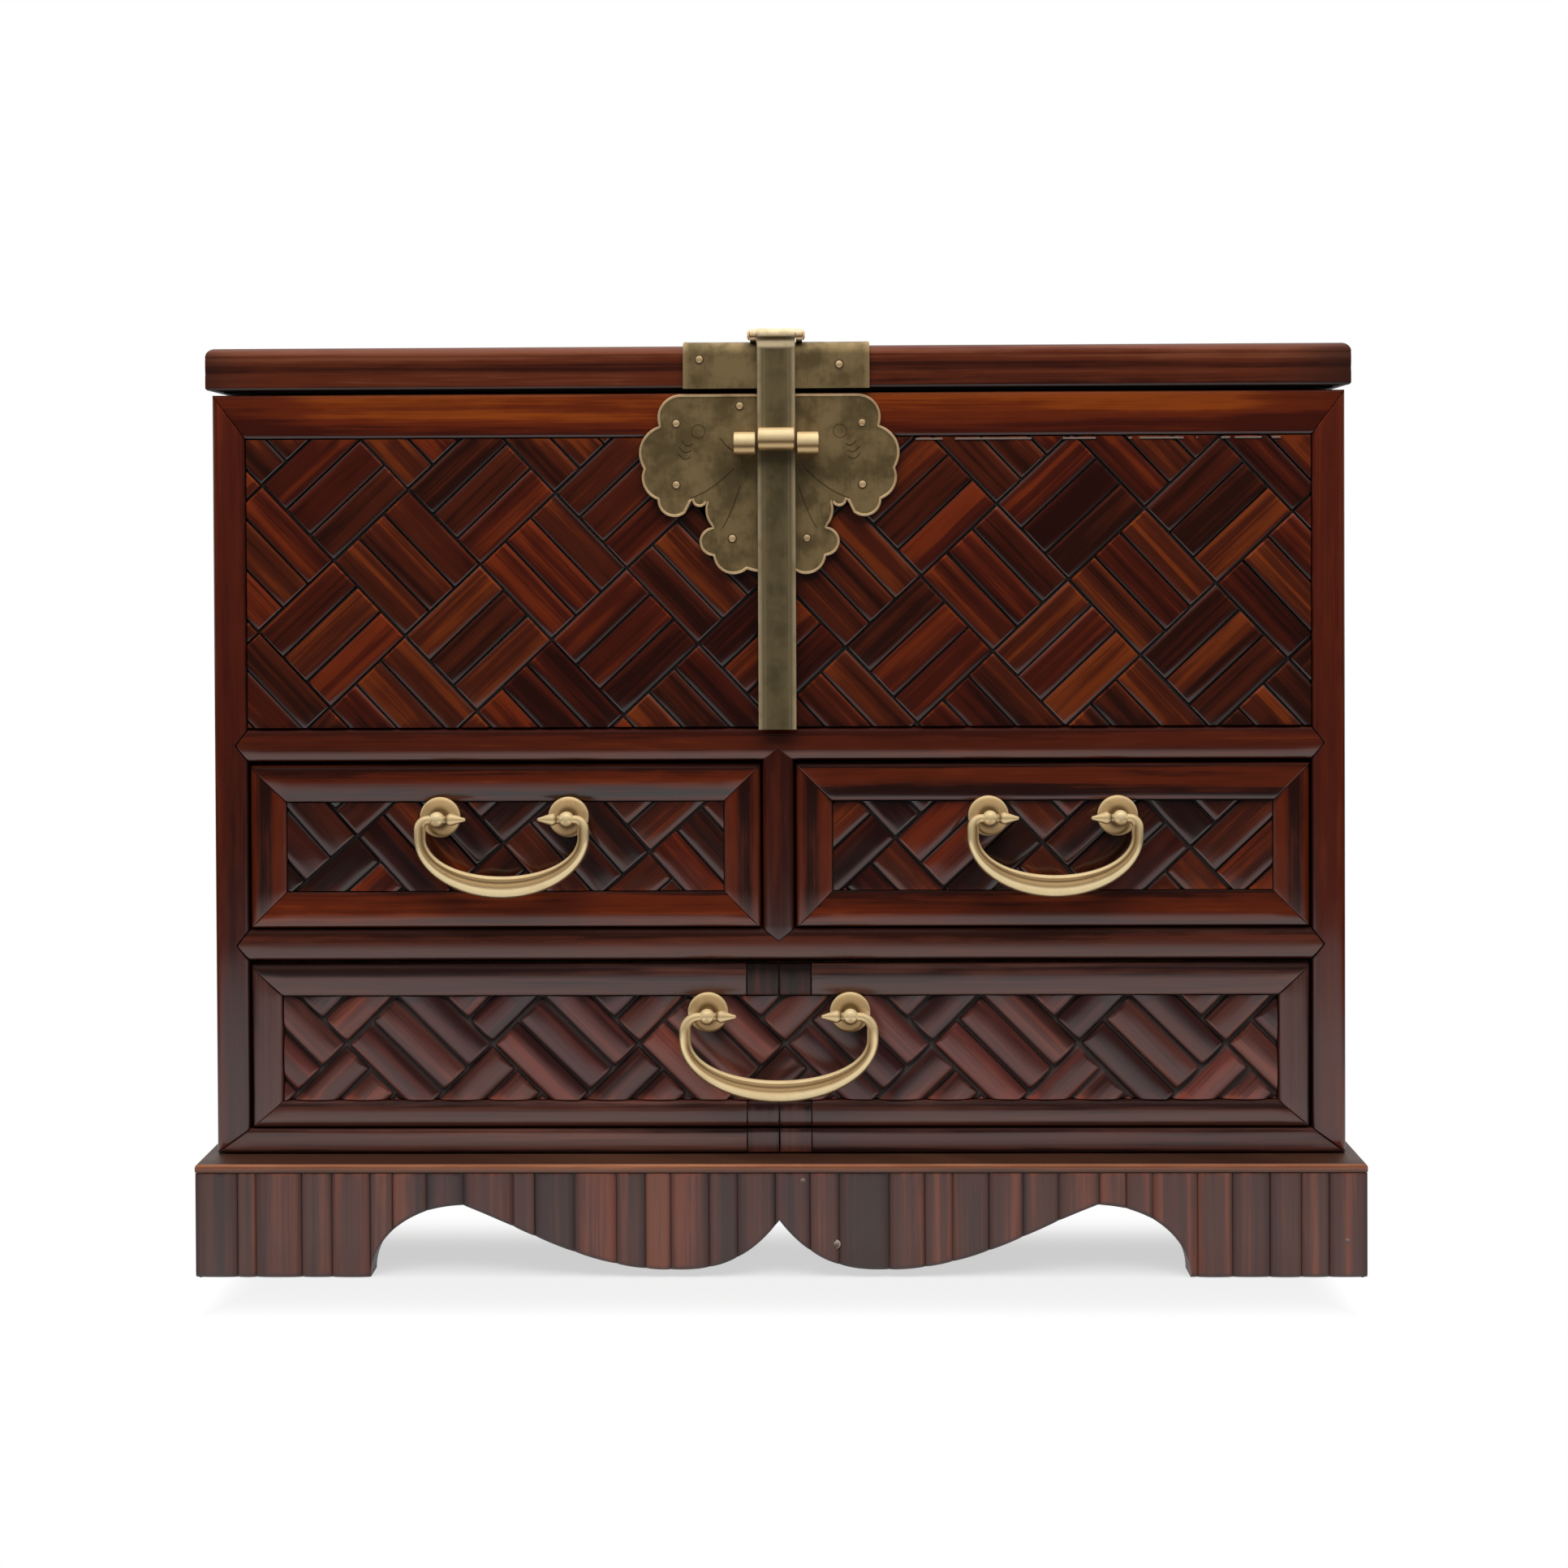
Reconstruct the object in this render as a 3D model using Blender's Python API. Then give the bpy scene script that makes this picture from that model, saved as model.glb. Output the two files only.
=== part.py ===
# Table-top treasure chest: a lidded box over three drawers, faced with half-round bamboo
# strips and fitted with brass. Metres, +Z up, front towards -Y, origin under the plinth's middle.
import math

import bmesh
import bpy
from mathutils import Vector

# Fits
GLUE_GAP = 0.0003
PIN_CLEARANCE = 0.00015
DRAWER_SIDE_GAP = 0.0006
DRAWER_TOP_GAP = 0.0012
DRAWER_SLIDE_GAP = 0.0003
DRAWER_STOP_GAP = 0.0005
LID_GAP = 0.0008

# Plinth
PLINTH_WIDTH = 0.380
PLINTH_DEPTH = 0.249
APRON_HEIGHT = 0.034
APRON_THICKNESS = 0.011
PLINTH_TOP_THICKNESS = 0.0027
PLINTH_TOP_CHAMFER = 0.0006
FRONT_LEDGE = 0.012
SIDE_LEDGE = 0.004
BACK_LEDGE = 0.005
FOOT_WIDTH = 0.057
ARCH_ROUND = 0.0300
LOBE_OFFSET = 0.0350
SIDE_FOOT_WIDTH = 0.045
SIDE_ARCH_ROUND = 0.0220
SIDE_LOBE_OFFSET = 0.0220
ARCH_HEIGHT = 0.0234
CUSP_HEIGHT = 0.0184
LOBE_HEIGHT = 0.0024

# Front frame of half-round strips
STILE_WIDTH = 0.011
BOTTOM_RAIL_HEIGHT = 0.0080
LOWER_RAIL_HEIGHT = 0.0105
MIDDLE_RAIL_HEIGHT = 0.011
TOP_RAIL_HEIGHT = 0.0145
POST_WIDTH = 0.0104
LONG_OPENING_HEIGHT = 0.0555
SMALL_OPENING_HEIGHT = 0.0553
PANEL_HEIGHT = 0.0955
STRIP_DEPTH = 0.0045
STRIP_EDGE = 0.0014
JOINT_POINT = 0.0040
JOIN_BLOCK_WIDTH = 0.0215
JOIN_BLOCK_RISE = 0.0003
JOIN_BLOCK_EDGE = 0.0022

# Case boards
SIDE_STRIP_WIDTH = 0.011
SIDE_STRIP_DEPTH = 0.004
SIDE_FIELD_DROP = 0.0006
FRONT_BOARD_THICKNESS = 0.008
BACK_THICKNESS = 0.008
SHELF_THICKNESS = 0.008

# Parquetry
STRIP_PITCH = 0.0114
STRIPS_PER_BLOCK = 3
PARQUETRY_DEPTH = 0.0040
GROOVE_DEPTH = 0.0015
STRIP_BEVEL = 0.0024

# Lid
LID_THICKNESS = 0.0145
LID_OVERHANG = 0.0015
LID_EDGE_WIDTH = 0.012
LID_ROUND = 0.0032
LID_FIELD_DROP = 0.0008

# Drawers
DRAWER_FRONT_THICKNESS = 0.009
DRAWER_WALL = 0.006
DRAWER_BOTTOM = 0.003
DRAWER_BOTTOM_LIFT = 0.003
DRAWER_GROOVE = 0.002
DRAWER_SIDE_DROP = 0.006
SMALL_FRAME_WIDTH = 0.0120
LONG_FRAME_WIDTH = 0.0104
LONG_FRAME_BOTTOM = 0.0088

# Pulls
SMALL_PULL_SPACING = 0.0423
LONG_PULL_SPACING = 0.0467
SMALL_PULL_RAISE = 0.0099
LONG_PULL_RAISE = 0.0113
SMALL_BAIL_DROP = 0.0257
LONG_BAIL_DROP = 0.0280
SMALL_BAIL_SHOULDER = 0.0028
LONG_BAIL_SHOULDER = 0.0045
BAIL_SIDE = 0.0030
BAIL_END_RADIUS = 0.00135
BAIL_SIDE_RADIUS = 0.0019
BAIL_FOOT_RADIUS = 0.0036
BAIL_FOOT_DEPTH = 0.0021
FINIAL_LENGTH = 0.0095
FINIAL_RADIUS = 0.0020
FINIAL_TIP_RADIUS = 0.0005
ROSETTE_RADIUS = 0.0067
ROSETTE_RISE = 0.0021
NECK_RADIUS = 0.0019
EYE_RADIUS = 0.0026
PULL_STANDOFF = 0.0078
SHANK_RADIUS = 0.0017
SHANK_HEAD_RADIUS = 0.0030
SHANK_HEAD_THICKNESS = 0.0015

# Hasp and lock plate
PLATE_SHEET = 0.0012
HASP_SHEET = 0.0012
HASP_WIDTH = 0.0124
HASP_LENGTH = 0.1288
HASP_RAISE = 0.0008
HASP_PIN_RADIUS = 0.0009
BRACKET_WIDTH = 0.0610
BRACKET_REACH = 0.0200
BRACKET_SHEET = 0.0010
EAR_LENGTH = 0.0020
PIN_HEAD_LENGTH = 0.0008
PIN_HEAD_RADIUS = 0.0017
LOOP_RADIUS = 0.0037
LOOP_BORE_RADIUS = 0.0019
LOOP_LENGTH = 0.0070
LOOP_GAP = 0.0006
LOOP_DROP = 0.0155
PLATE_HEIGHT = 0.0582
PLATE_TOP_DROP = 0.0006
PLATE_SHIFT = -0.0024

# Lid hinges
HINGE_INSET = 0.0760
HINGE_LENGTH = 0.0300
HINGE_KNUCKLE = 0.0110
HINGE_LEAF_REACH = 0.0115
HINGE_SHEET = 0.0011
HINGE_PIN_RADIUS = 0.0008

# Facets
STRIP_STEPS = 6
ARCH_STEPS = 6
ROUND_STEPS = 12
POST_SIDES = 10
LOBE_STEPS = 5
BAIL_STEPS = 7
BAIL_SIDES = 8
SHARP_ANGLE = 35

# Colour (linear), roughness, metallic
LACQUER = ((0.095, 0.024, 0.008), 0.32, 0.0)
DARK_LACQUER = ((0.055, 0.015, 0.007), 0.35, 0.0)
PLINTH_LACQUER = ((0.090, 0.042, 0.026), 0.38, 0.0)
PLAIN_WOOD = ((0.260, 0.150, 0.075), 0.60, 0.0)
PLATE_BRASS = ((0.170, 0.120, 0.055), 0.42, 1.0)
PULL_BRASS = ((0.480, 0.340, 0.170), 0.28, 1.0)

# Lock plate, right half: ends of its lobes from the middle of the top edge (across, down), and how
# far each lobe bulges past the straight line to its end. The last one gives the height in these units.
PLATE_START = (28.6, 0.0)
PLATE_LOBES = (
    (36.1, 10.4, 3.4),
    (41.2, 24.4, 3.7),
    (36.7, 34.5, 2.4),
    (27.5, 38.9, 3.3),
    (25.4, 34.7, 0.0),
    (20.3, 34.7, 2.3),
    (18.7, 43.5, 1.4),
    (18.5, 53.1, 4.4),
    (7.4, 57.4, 3.6),
    (0.0, 58.2, 0.5),
)

# Parquetry fields: where a corner of four blocks lies from the field's middle (x, z), the turn
# of the lattice in degrees, and whether the blocks beside that corner lean left (\) or right (/).
PARQUETRY_LAYOUT = {
    "main": ((-0.0011, 0.0032), -1.7, "left"),
    "left": ((-0.0007, 0.0008), -3.3, "left"),
    "right": ((-0.0031, 0.0008), -1.9, "right"),
    "long": ((0.0020, 0.0011), 0.0, "left"),
}

# Places worked out from the sizes above
front = -PLINTH_DEPTH / 2 + FRONT_LEDGE
back = PLINTH_DEPTH / 2 - BACK_LEDGE
strip_back = front + STRIP_DEPTH
case_front = strip_back + GLUE_GAP
half_body = PLINTH_WIDTH / 2 - SIDE_LEDGE
half_opening = half_body - STILE_WIDTH
case_bottom = APRON_HEIGHT + PLINTH_TOP_THICKNESS + 2 * GLUE_GAP
long_floor = case_bottom + BOTTOM_RAIL_HEIGHT
long_ceiling = long_floor + LONG_OPENING_HEIGHT
small_floor = long_ceiling + LOWER_RAIL_HEIGHT
small_ceiling = small_floor + SMALL_OPENING_HEIGHT
panel_bottom = small_ceiling + MIDDLE_RAIL_HEIGHT
panel_top = panel_bottom + PANEL_HEIGHT
case_top = panel_top + TOP_RAIL_HEIGHT
lid_bottom = case_top + LID_GAP
lid_top = lid_bottom + LID_THICKNESS
lid_front = front - LID_OVERHANG
half_lid = half_body + LID_OVERHANG
board_back = back - BACK_THICKNESS - GLUE_GAP
parquetry_back = strip_back
parquetry_face = parquetry_back - PARQUETRY_DEPTH
eye_y = parquetry_face - GLUE_GAP - PULL_STANDOFF
eye_bore = BAIL_END_RADIUS + PIN_CLEARANCE
hasp_bore = HASP_PIN_RADIUS + PIN_CLEARANCE
hasp_y = lid_front - 2 * GLUE_GAP - BRACKET_SHEET + hasp_bore
hasp_z = lid_top + GLUE_GAP + BRACKET_SHEET + HASP_RAISE + hasp_bore
hasp_face = hasp_y - hasp_bore - HASP_SHEET
loop_y = hasp_face - LOOP_BORE_RADIUS - PIN_CLEARANCE
loop_z = case_top - LOOP_DROP
plate_face = front - GLUE_GAP - PLATE_SHEET
hinge_bore = HINGE_PIN_RADIUS + PIN_CLEARANCE
hinge_y = back + GLUE_GAP + HINGE_SHEET + hinge_bore
hinge_z = case_top + LID_GAP / 2

pivots = {}


def clear_scene():
    for obj in list(bpy.data.objects):
        bpy.data.objects.remove(obj, do_unlink=True)


def pivot(name, point, parent=None):
    """An empty on the body's joint axis; the body's pieces hang from it."""
    empty = bpy.data.objects.new(name, None)
    empty.empty_display_size = 0.01
    bpy.context.scene.collection.objects.link(empty)
    point = Vector(point)
    if parent:
        empty.parent, origin = pivots[parent]
        empty.location = point - origin
    else:
        empty.location = point
    pivots[name] = (empty, point)


def make_material(name, finish):
    colour, roughness, metallic = finish
    mat = bpy.data.materials.new(name)
    mat.use_nodes = True
    shader = mat.node_tree.nodes["Principled BSDF"]
    shader.inputs["Base Color"].default_value = (*colour, 1.0)
    shader.inputs["Roughness"].default_value = roughness
    shader.inputs["Metallic"].default_value = metallic
    mat.diffuse_color = (*colour, 1.0)
    return mat


def place(name, bm, finish, body):
    """Turn a bmesh in world coordinates into a named object under its body's pivot."""
    empty, origin = pivots[body]
    bmesh.ops.translate(bm, verts=bm.verts, vec=-origin)
    bmesh.ops.recalc_face_normals(bm, faces=bm.faces)
    if bm.calc_volume(signed=True) < 0:
        bmesh.ops.reverse_faces(bm, faces=bm.faces)
    mesh = bpy.data.meshes.new(name)
    bm.to_mesh(mesh)
    bm.free()
    mesh.shade_smooth()
    mesh.set_sharp_from_angle(angle=math.radians(SHARP_ANGLE))
    obj = bpy.data.objects.new(name, mesh)
    obj.parent = empty
    bpy.context.scene.collection.objects.link(obj)
    if finish:
        mesh.materials.append(make_material(name, finish))
    return obj


def make_tool(name, bm, body):
    tool = place(name, bm, None, body)
    tool.hide_render = True
    tool.display_type = "WIRE"
    return tool


def combine(target, tool, operation):
    mod = target.modifiers.new(tool.name, "BOOLEAN")
    mod.operation = operation
    mod.object = tool
    mod.solver = "EXACT"


def loft(rings, closed=False):
    """Skin rings of points; capped at both ends, or joined end to end when closed."""
    bm = bmesh.new()
    rows = [[bm.verts.new(p) for p in ring] for ring in rings]
    pairs = list(zip(rows, rows[1:]))
    if closed:
        pairs.append((rows[-1], rows[0]))
    else:
        bm.faces.new(rows[0])
        bm.faces.new(rows[-1])
    for a, b in pairs:
        for i in range(len(a)):
            j = (i + 1) % len(a)
            bm.faces.new((a[i], a[j], b[j], b[i]))
    return bm


def rectangle(x0, x1, z0, z1):
    return [(x0, z0), (x1, z0), (x1, z1), (x0, z1)]


def prism_x(outline, x0, x1):
    return loft([[(x, y, z) for y, z in outline] for x in (x0, x1)])


def prism_y(outline, y0, y1):
    return loft([[(x, y, z) for x, z in outline] for y in (y0, y1)])


def board(x0, x1, y0, y1, z0, z1):
    return prism_y(rectangle(x0, x1, z0, z1), y0, y1)


def arc(cx, cy, radius, start, end, steps):
    """Points of a circular arc, angles in degrees."""
    points = []
    for i in range(steps + 1):
        a = math.radians(start + (end - start) * i / steps)
        points.append((cx + radius * math.cos(a), cy + radius * math.sin(a)))
    return points


def rod_x(y, z, radius, x0, x1):
    return prism_x(arc(y, z, radius, 0, 360, ROUND_STEPS)[:-1], x0, x1)


def rod_y(x, z, radius, y0, y1):
    return prism_y(arc(x, z, radius, 0, 360, ROUND_STEPS)[:-1], y0, y1)


# Half-round strips

def strip(width, depth, start, end, place_point):
    """A half-round strip. start and end give its length at each place across its width, so that
    mitres and pointed ends come out of the same skin; place_point maps (across, along, out)."""
    rings = []
    for i in range(STRIP_STEPS + 1):
        a = math.pi * i / STRIP_STEPS
        u = width * (1 - math.cos(a)) / 2
        h = STRIP_EDGE + (depth - STRIP_EDGE) * math.sin(a)
        ring = [(u, start(u), 0), (u, start(u), h), (u, end(u), h), (u, end(u), 0)]
        rings.append([place_point(*p) for p in ring])
    return loft(rings)


def rail_point(z0):
    return lambda u, v, h: (v, strip_back - h, z0 + u)


def stile_point(x0, side):
    return lambda u, v, h: (x0 + side * u, strip_back - h, v)


def pointed(base, reach, width):
    """End of a strip that runs to a point, reach beyond base, in the middle of its width."""
    return lambda u: base + reach * (1 - abs(2 * u / width - 1))


def joint_diamond(x, z, half_width, half_height):
    outline = [(x - half_width, z), (x, z - half_height), (x + half_width, z), (x, z + half_height)]
    return prism_y(outline, strip_back + GLUE_GAP, front - GLUE_GAP)


def join_blocks(z0, z1):
    """A pair of short upright strips over the joint in the middle of a long strip."""
    half, crown, edge = JOIN_BLOCK_WIDTH / 2, STRIP_DEPTH + JOIN_BLOCK_RISE, JOIN_BLOCK_EDGE
    side = [(half, 0.0), (half, crown - edge), (half - edge, crown), (edge, crown)]
    outline = side + [(0.0, crown - edge)] + [(-x, h) for x, h in reversed(side)]
    return loft([[(x, strip_back - h, z) for x, h in outline] for z in (z0, z1)])


def frame_ring(rect, widths, depth, place_point):
    """Four mitred half-round strips glued up as a frame. widths are left, bottom, right, top."""
    a0, a1, b0, b1 = rect
    profile = [(0.0, 0.0)]
    for i in range(STRIP_STEPS + 1):
        a = math.pi * i / STRIP_STEPS
        profile.append(((1 - math.cos(a)) / 2, STRIP_EDGE + (depth - STRIP_EDGE) * math.sin(a)))
    profile.append((1.0, 0.0))
    rings = []
    left, bottom, right, top = widths
    for f, h in profile:
        loop = rectangle(a0 + f * left, a1 - f * right, b0 + f * bottom, b1 - f * top)
        rings.append([place_point(a, b, h) for a, b in loop])
    return loft(rings, closed=True)


# Plinth

def apron_outline(half_length, foot, round_width, lobe):
    """Lower edge from the middle outwards: cusp, hanging lobe, arch, foot."""
    inner = half_length - foot
    peak = inner - round_width
    points = []
    for i in range(ARCH_STEPS):
        t = (i / ARCH_STEPS) ** 1.2
        fall = 1 - (1 - t) ** 2.8
        points.append((lobe * t, CUSP_HEIGHT - (CUSP_HEIGHT - LOBE_HEIGHT) * fall))
    for i in range(ARCH_STEPS):
        t = i / ARCH_STEPS
        rise = 1.3 * t**2 - 0.3 * t**5
        points.append((lobe + (peak - lobe) * t, LOBE_HEIGHT + (ARCH_HEIGHT - LOBE_HEIGHT) * rise))
    for i in range(ARCH_STEPS + 1):
        a = math.pi / 2 * i / ARCH_STEPS
        points.append((peak + round_width * math.sin(a), ARCH_HEIGHT * math.cos(a)))
    points[-1] = (inner, 0.0)
    points.append((half_length, 0.0))
    return points


def apron(half_length, outer, outline, place_point):
    """A shaped apron with its ends mitred. outer is the distance of its face from the middle."""
    half = [(x, z, x - APRON_THICKNESS if x == half_length else x) for x, z in outline]
    stations = [(-x, z, -xb) for x, z, xb in reversed(half)] + half[1:]
    rings = []
    for x, z, xb in stations:
        face = [(x, outer, z), (x, outer, APRON_HEIGHT)]
        inside = [(xb, outer - APRON_THICKNESS, APRON_HEIGHT), (xb, outer - APRON_THICKNESS, z)]
        rings.append([place_point(*p) for p in face + inside])
    return loft(rings)


def build_plinth():
    half_w, half_d = PLINTH_WIDTH / 2, PLINTH_DEPTH / 2
    long_edge = apron_outline(half_w, FOOT_WIDTH, ARCH_ROUND, LOBE_OFFSET)
    for name, side in (("plinth_front_apron", -1), ("plinth_back_apron", 1)):
        bm = apron(half_w, half_d, long_edge, lambda x, d, z: (x, side * d, z))
        place(name, bm, PLINTH_LACQUER, "case")
    half_side = half_d - 2 * GLUE_GAP
    short_edge = apron_outline(half_side, SIDE_FOOT_WIDTH, SIDE_ARCH_ROUND, SIDE_LOBE_OFFSET)
    for name, side in (("plinth_left_apron", -1), ("plinth_right_apron", 1)):
        bm = apron(half_side, half_w, short_edge, lambda y, d, z: (side * d, y, z))
        place(name, bm, PLINTH_LACQUER, "case")
    z0 = APRON_HEIGHT + GLUE_GAP
    z1 = z0 + PLINTH_TOP_THICKNESS
    rings = []
    for z, inset in ((z0, 0), (z1 - PLINTH_TOP_CHAMFER, 0), (z1, PLINTH_TOP_CHAMFER)):
        loop = rectangle(inset - half_w, half_w - inset, inset - half_d, half_d - inset)
        rings.append([(x, y, z) for x, y in loop])
    place("plinth_top_board", loft(rings), PLINTH_LACQUER, "case")


# Case

def build_side(name, side):
    """A side board whose outer face has a raised field, and the strip frame round that field."""
    inner = half_opening
    face = half_body - SIDE_STRIP_DEPTH - GLUE_GAP
    field = half_body - SIDE_FIELD_DROP
    inset = SIDE_STRIP_WIDTH + GLUE_GAP
    rings = []
    for x, grow in ((inner, 0), (face, 0), (face, inset), (field, inset)):
        loop = rectangle(case_front + grow, back - grow, case_bottom + grow, case_top - grow)
        rings.append([(side * x, y, z) for y, z in loop])
    place(name + "_side_board", loft(rings), LACQUER, "case")
    base = half_body - SIDE_STRIP_DEPTH
    bm = frame_ring(
        (case_front, back, case_bottom, case_top),
        (SIDE_STRIP_WIDTH,) * 4,
        SIDE_STRIP_DEPTH,
        lambda y, z, h: (side * (base + h), y, z),
    )
    place(name + "_side_frame", bm, DARK_LACQUER, "case")


def build_case():
    for name, side in (("left", -1), ("right", 1)):
        build_side(name, side)
    inside = half_opening - GLUE_GAP
    floor_under = panel_bottom - SHELF_THICKNESS
    shelf_under = small_floor - SHELF_THICKNESS
    boards = {
        "back_board": (-inside, inside, back - BACK_THICKNESS, back, case_bottom, case_top),
        "bottom_board": (-inside, inside, case_front, board_back, case_bottom, long_floor),
        "drawer_shelf": (-inside, inside, case_front, board_back, shelf_under, small_floor),
        "compartment_floor": (-inside, inside, case_front, board_back, floor_under, panel_bottom),
        "drawer_partition": (
            -POST_WIDTH / 2, POST_WIDTH / 2, case_front, board_back,
            small_floor + GLUE_GAP, floor_under - GLUE_GAP,
        ),
        "front_board": (
            -inside, inside, case_front, case_front + FRONT_BOARD_THICKNESS,
            panel_bottom + GLUE_GAP, case_top,
        ),
    }
    for name, limits in boards.items():
        place(name, board(*limits), PLAIN_WOOD, "case")


def build_stiles():
    for name, side in (("left_stile", -1), ("right_stile", 1)):
        bm = strip(
            STILE_WIDTH,
            STRIP_DEPTH,
            lambda u: case_bottom + BOTTOM_RAIL_HEIGHT * u / STILE_WIDTH,
            lambda u: case_top - TOP_RAIL_HEIGHT * u / STILE_WIDTH,
            stile_point(side * half_body, -side),
        )
        stile = place(name, bm, DARK_LACQUER, "case")
        for rail, z0, height in (
            ("middle", small_ceiling, MIDDLE_RAIL_HEIGHT),
            ("lower", long_ceiling, LOWER_RAIL_HEIGHT),
        ):
            notch = joint_diamond(side * half_opening, z0 + height / 2, JOINT_POINT, height / 2)
            combine(stile, make_tool(f"{name}_{rail}_notch", notch, "case"), "DIFFERENCE")


def build_mitred_rail(name, z0, height, grow):
    """A rail mitred to the stiles; grow is 1 where it is longest at its top edge, else 0."""
    def end(u):
        share = u / height if grow else 1 - u / height
        return half_opening + STILE_WIDTH * share - GLUE_GAP

    bm = strip(height, STRIP_DEPTH, lambda u: -end(u), end, rail_point(z0))
    return place(name, bm, LACQUER, "case")


def build_pointed_rail(name, z0, height):
    reach = half_opening - GLUE_GAP
    tip = pointed(reach, JOINT_POINT, height)
    bm = strip(height, STRIP_DEPTH, lambda u: -tip(u), tip, rail_point(z0))
    return place(name, bm, LACQUER, "case")


def build_front_frame():
    build_stiles()
    build_mitred_rail("top_rail", panel_top, TOP_RAIL_HEIGHT, 1)
    bottom = build_mitred_rail("bottom_rail", case_bottom, BOTTOM_RAIL_HEIGHT, 0)
    blocks = make_tool("bottom_rail_blocks", join_blocks(case_bottom, long_floor), "case")
    combine(bottom, blocks, "UNION")
    middle = build_pointed_rail("middle_rail", small_ceiling, MIDDLE_RAIL_HEIGHT)
    lower = build_pointed_rail("lower_rail", long_ceiling, LOWER_RAIL_HEIGHT)
    for rail, z in ((middle, small_ceiling), (lower, small_floor)):
        notch = joint_diamond(0, z, POST_WIDTH / 2, JOINT_POINT)
        combine(rail, make_tool(rail.name + "_notch", notch, "case"), "DIFFERENCE")
    top_tip = pointed(small_ceiling - GLUE_GAP, JOINT_POINT, POST_WIDTH)
    low_tip = pointed(small_floor + GLUE_GAP, -JOINT_POINT, POST_WIDTH)
    post = strip(POST_WIDTH, STRIP_DEPTH, low_tip, top_tip, stile_point(-POST_WIDTH / 2, 1))
    place("drawer_post", post, DARK_LACQUER, "case")
    rect = (
        GLUE_GAP - half_opening, half_opening - GLUE_GAP,
        panel_bottom + GLUE_GAP, panel_top - GLUE_GAP,
    )
    place("main_parquetry", parquetry(rect, *PARQUETRY_LAYOUT["main"]), LACQUER, "case")


# Parquetry: square blocks of three strips laid on the diagonal, turn about, clipped to the field

def lattice_strips(bm, rect, corner, turn, lean):
    x0, x1, z0, z1 = rect
    origin = Vector(((x0 + x1) / 2 + corner[0], (z0 + z1) / 2 + corner[1]))
    down = math.radians(turn - 45)
    up = math.radians(turn + 45)
    along_down = Vector((math.cos(down), math.sin(down))) * STRIP_PITCH
    along_up = Vector((math.cos(up), math.sin(up))) * STRIP_PITCH
    n = STRIPS_PER_BLOCK
    block = n * STRIP_PITCH
    verts = {}

    def vert(i, j):
        if (i, j) not in verts:
            p = origin + along_down * i + along_up * j
            verts[i, j] = bm.verts.new((p.x, 0, p.y))
        return verts[i, j]

    reach = int((x1 - x0 + z1 - z0) / block) + 2
    for i in range(-reach, reach):
        for j in range(-reach, reach):
            mid = origin + (along_down * (i + 0.5) + along_up * (j + 0.5)) * n
            if not (x0 - block < mid.x < x1 + block and z0 - block < mid.y < z1 + block):
                continue
            leans_left = ((i + j) % 2 == 0) == (lean == "left")
            for k in range(n):
                edge = [(a, k) for a in range(n + 1)] + [(a, k + 1) for a in range(n, -1, -1)]
                loop = [(i * n + a, j * n + b) if leans_left else (i * n + b, j * n + a) for a, b in edge]
                bm.faces.new([vert(*p) for p in loop])


def parquetry(rect, corner, turn, lean):
    """The strips with bevelled sides, cut square at the field's edges and closed behind."""
    bm = bmesh.new()
    lattice_strips(bm, rect, corner, turn, lean)
    bm.normal_update()
    bmesh.ops.reverse_faces(bm, faces=[f for f in bm.faces if f.normal.y > 0])
    bmesh.ops.inset_individual(bm, faces=bm.faces[:], thickness=STRIP_BEVEL, depth=GROOVE_DEPTH)
    x0, x1, z0, z1 = rect
    for point, normal in (
        ((x0, 0, 0), (-1, 0, 0)),
        ((x1, 0, 0), (1, 0, 0)),
        ((0, 0, z0), (0, 0, -1)),
        ((0, 0, z1), (0, 0, 1)),
    ):
        geom = bm.verts[:] + bm.edges[:] + bm.faces[:]
        bmesh.ops.bisect_plane(
            bm, geom=geom, dist=1e-5, plane_co=point, plane_no=normal, clear_outer=True
        )
    bmesh.ops.translate(bm, verts=bm.verts, vec=(0, parquetry_face + GROOVE_DEPTH, 0))
    rim = [e for e in bm.edges if e.is_boundary]
    skirt = bmesh.ops.extrude_edge_only(bm, edges=rim)["geom"]
    for v in skirt:
        if isinstance(v, bmesh.types.BMVert):
            v.co.y = parquetry_back
    bmesh.ops.edgeloop_fill(bm, edges=[e for e in skirt if isinstance(e, bmesh.types.BMEdge)])
    return bm


# Lid

def lid_section(u):
    """Top and bottom of a lid edge strip at u from its inner side, with its nose rounded."""
    past = max(0.0, u - (LID_EDGE_WIDTH - LID_ROUND))
    fall = LID_ROUND - math.sqrt(max(0.0, LID_ROUND**2 - past**2))
    return lid_bottom + fall, lid_top - fall


def lid_strip(square, place_point):
    """A lid edge strip; place_point maps (out from the inner side, which end, height)."""
    steps = [0.0]
    for i in range(STRIP_STEPS + 1):
        a = math.pi / 2 * i / STRIP_STEPS
        steps.append(LID_EDGE_WIDTH - LID_ROUND + LID_ROUND * math.sin(a))
    if square:
        steps = [0.0, LID_EDGE_WIDTH]
    rings = []
    for u in steps:
        low, high = (lid_bottom, lid_top) if square else lid_section(u)
        ring = [(u, -1, low), (u, -1, high), (u, 1, high), (u, 1, low)]
        rings.append([place_point(*p) for p in ring])
    return loft(rings)


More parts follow.
